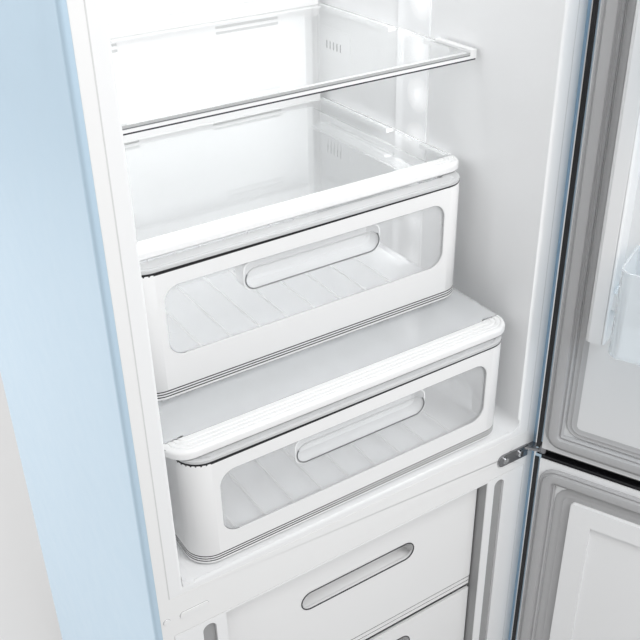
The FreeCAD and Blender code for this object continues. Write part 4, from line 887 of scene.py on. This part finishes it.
def wall_vents():
    """Low panel with five upright slits at two heights on each wall of the fridge compartment."""
    slits = [SLIT_Y + i * SLIT_PITCH for i in range(VENT_SLITS)]
    ys = [VENT_ENDS[0]] + [y for slit in slits for y in (slit, slit + SLIT_WIDTH)] + [VENT_ENDS[1]]
    for side, name in ((-1, "left"), (1, "right")):
        for level, z0 in VENT_Z:
            zs = [z0, z0 + SLIT_FOOT, z0 + SLIT_TOP, z0 + VENT_HEIGHT]
            plate = bmesh.new()
            pierced_plate(plate, ys, zs, lambda i, j: j == 1 and i % 2 == 1, side * WALL_X,
                          side * (WALL_X - VENT_T))
            finish_piece(f"wall_vent_{name}_{level}", plate, MATERIALS["liner_white"],
                         "cabinet", VENT_BEVEL)
            shade = bmesh.new()
            pierced_plate(shade, SHADE_Y, [z0 + up for up in SHADE_UP], lambda i, j: False,
                          side * WALL_X, side * (WALL_X - SHADE_T))
            finish_piece(f"wall_vent_shade_{name}_{level}", shade, SLIT, "cabinet")


def back_vents():
    """Shade inside the air slots of the duct cover."""
    slots = []
    for row in range(SLOT_ROWS):
        inner = SLOT_INNER if row else SLOT_INNER_LOWEST
        for drop in (0.0, SLOT_PITCH):
            z = SLOT_Z + row * SLOT_ROW_PITCH - drop
            for side in (-1, 1):
                left, right = sorted((side * inner, side * SLOT_OUTER))
                slots.append(((left + SLOT_GAP, SLOT_Y[0], z - SLOT_HALF),
                              (right - SLOT_GAP, SLOT_Y[1], z + SLOT_HALF)))
    box_piece("duct_slot_shade", slots, SOFT_GREY, "cabinet")


def liner_corners():
    """Round inner corner along each side of the fridge compartment's floor."""
    fillet = bmesh.new()
    curve = arc(CORNER_WALL - CORNER_R, CORNER_FLOOR + CORNER_R, CORNER_R, 270, 360)
    for side in (-1, 1):
        outline = [(side * a, b) for a, b in curve + [(CORNER_WALL, CORNER_FLOOR)]]
        loft(fillet, [[(a, y, b) for a, b in outline] for y in CORNER_Y])
    finish_piece("liner_floor_corners", fillet, MATERIALS["liner_white"], "cabinet",
                 CORNER_BEVEL)


def joint_lines():
    """Grey sealing bead over the narrow joint between the steel frame and the liners."""
    beads = [((side * JOINT_X - JOINT_HALF, JOINT_Y[0], z0), (side * JOINT_X + JOINT_HALF, JOINT_Y[1], z1))
             for side in (-1, 1) for z0, z1 in JOINT_Z]
    box_piece("frame_joint_seal", beads, JOINT, "cabinet", JOINT_BEVEL)


def freezer_channels():
    """Flat grey sheet in the round-ended recess down each side of the freezer's flange."""
    grey_sheet = bmesh.new()
    for side in (-1, 1):
        x = side * FLANGE_SHEET_X
        outline = round_rectangle(x - FLANGE_SHEET_HALF, x + FLANGE_SHEET_HALF, *FLANGE_SHEET_Z, FLANGE_SHEET_R)
        loft(grey_sheet, [[(a, y, b) for a, b in outline] for y in FLANGE_SHEET_Y])
    finish_piece("freezer_flange_grey_sheet", grey_sheet, RECESS_AND_SHADE_GREY, "cabinet")


def freezer_mouth():
    """Grey band of painted shade on both side walls just inside the freezer's mouth."""
    bands = []
    for side in (-1, 1):
        left, right = sorted(side * x for x in BAND_X)
        bands.append(((left, BAND_Y[0], BAND_Z[0]), (right, BAND_Y[1], BAND_Z[1])))
    box_piece("freezer_mouth_shade", bands, RECESS_AND_SHADE_GREY, "cabinet")


def freezer_foot_lines():
    """Shade in two of the grooves along the foot of each freezer drawer, and along its foot edge."""
    for drawer, _ in DRAWER_GRIPS:
        body = "freezer_drawer_" + drawer
        low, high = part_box(body + "_front")
        left, right = low[0] + DRAWER_END, high[0] - DRAWER_END
        y0, y1 = (low[1] + depth for depth in DRAWER_GROOVE_Y)
        heights = [low[2] + up * MM for up in DRAWER_GROOVES]
        lines = [((left, y0, z - DRAWER_GROOVE_HALF), (right, y1, z + DRAWER_GROOVE_HALF))
                 for z in heights]
        box_piece(body + "_foot_lines", lines, SLIT, body)
        y0, y1 = (low[1] + depth for depth in DRAWER_FOOT_Y)
        z0, z1 = (low[2] + up for up in DRAWER_FOOT_Z)
        foot = ((left, y0, z0), (right, y1, z1))
        box_piece(body + "_foot_edge", [foot], GROOVE_SHADE, body)


def freezer_grips():
    """Ring of near-black painted shade round each freezer drawer's grip."""
    for drawer, z in DRAWER_GRIPS:
        body = "freezer_drawer_" + drawer
        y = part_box(body + "_front")[0][1]
        ring = bmesh.new()
        outline = round_rectangle(-DRAWER_GRIP_HALF, DRAWER_GRIP_HALF, z - DRAWER_GRIP_R, z + DRAWER_GRIP_R,
                                  DRAWER_GRIP_R - 0.01 * MM)
        front_ring(ring, outline, y - DRAWER_GRIP_PROUD, wire_section(DRAWER_GRIP_WIRE))
        finish_piece(body + "_grip_edge_shade", ring, GROOVE_SHADE, body)


# ---------------------------------------------------------------- doors

PIN = Vector((0.292, -0.310, 0.0))
DOOR_REST = math.radians(115)
SEAL_FACE = -0.2995
SEAL_X = 0.2765
SEAL_INSET = 0.0125
SEAL_CORNER_R = 0.013
CARRIER_CORNER_R = 0.014
DOOR_INNER_HALF = 289.0
# Each door: body, foot and top of its seal, half width of the carrier's outline and of its strip in mm.
DOORS = (("fridge_door", 0.723, 1.944, 255.5, 7.5), ("freezer_door", 0.072, 0.685, 251.5, 11.5))
# Sections in mm, seen from their ends: the seal, and the carrier in half widths of its strip.
GASKET = [(-12.4, 0.1), (-12.4, 4.0), (-10.5, 6.0), (-8.6, 4.6), (-7.4, 4.6), (-5.8, 8.6), (-3.6, 9.05),
          (3.6, 9.05), (5.8, 8.6), (7.4, 4.6), (8.6, 4.6), (10.5, 6.0), (12.4, 4.0), (12.4, 0.1)]
CARRIER = [(-1.0, 0.1), (-1.0, 0.8), (-0.75, 1.6), (-0.5, 0.8), (-0.15, 0.8), (0.1, 1.8), (0.35, 0.8),
           (0.8, 0.8), (1.0, 0.5), (1.0, 0.1)]


def to_rest(bm):
    """Turns what was drawn on a shut door to where the door stands at rest."""
    turn = Matrix.Translation(PIN) @ Matrix.Rotation(DOOR_REST, 4, "Z") @ Matrix.Translation(-PIN)
    bmesh.ops.transform(bm, matrix=turn, verts=bm.verts)


def door_strip(name, door, corners, section):
    """Strip all round a door's inner side, mitred at the corners."""
    strip = bmesh.new()
    sweep(strip, [(Vector((a, SEAL_FACE, b)), BACKWARD) for a, b in corners], section, True)
    to_rest(strip)
    return finish_piece(name, strip, MATERIALS["seal_grey"], door)


def gasket(door, z0, z1):
    """Ribbed rubber seal: a magnet tube between two bellows."""
    section = [(a * MM, b * MM) for a, b in GASKET]
    corners = round_rectangle(-SEAL_X, SEAL_X, z0 + SEAL_INSET, z1 - SEAL_INSET, SEAL_CORNER_R, 4)
    piece = door_strip(door + "_seal", door, corners, section)
    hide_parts(door + "_gasket")


def seal_carrier(door, z0, z1, middle, half_width):
    """Ridged grey strip inside a door's seal that holds it to the liner."""
    section = [(a * half_width * MM, b * MM) for a, b in CARRIER]
    half, inset = middle * MM, (DOOR_INNER_HALF - middle) * MM
    corners = round_rectangle(-half, half, z0 + inset, z1 - inset, CARRIER_CORNER_R, 4)
    door_strip(door + "_seal_carrier", door, corners, section)


make_camera()
make_studio()
dress_frame()
for name, rim, foot, window, ledge in CRISPERS:
    crisper_tub(name, rim, foot + BIN_FLOOR_UP, ledge)
    grip_pocket(name, rim)
    crisper_ribs(name, foot + BIN_FLOOR_UP)
    crisper_details(name, rim, window)
glass_trims()
shelf_edges()
glass_sides()
plug_edges()
wall_vents()
back_vents()
liner_corners()
joint_lines()
freezer_channels()
freezer_mouth()
freezer_foot_lines()
freezer_grips()
for name, foot, top, _, _ in DOORS:
    gasket(name, foot, top)
for door in DOORS:
    seal_carrier(*door)
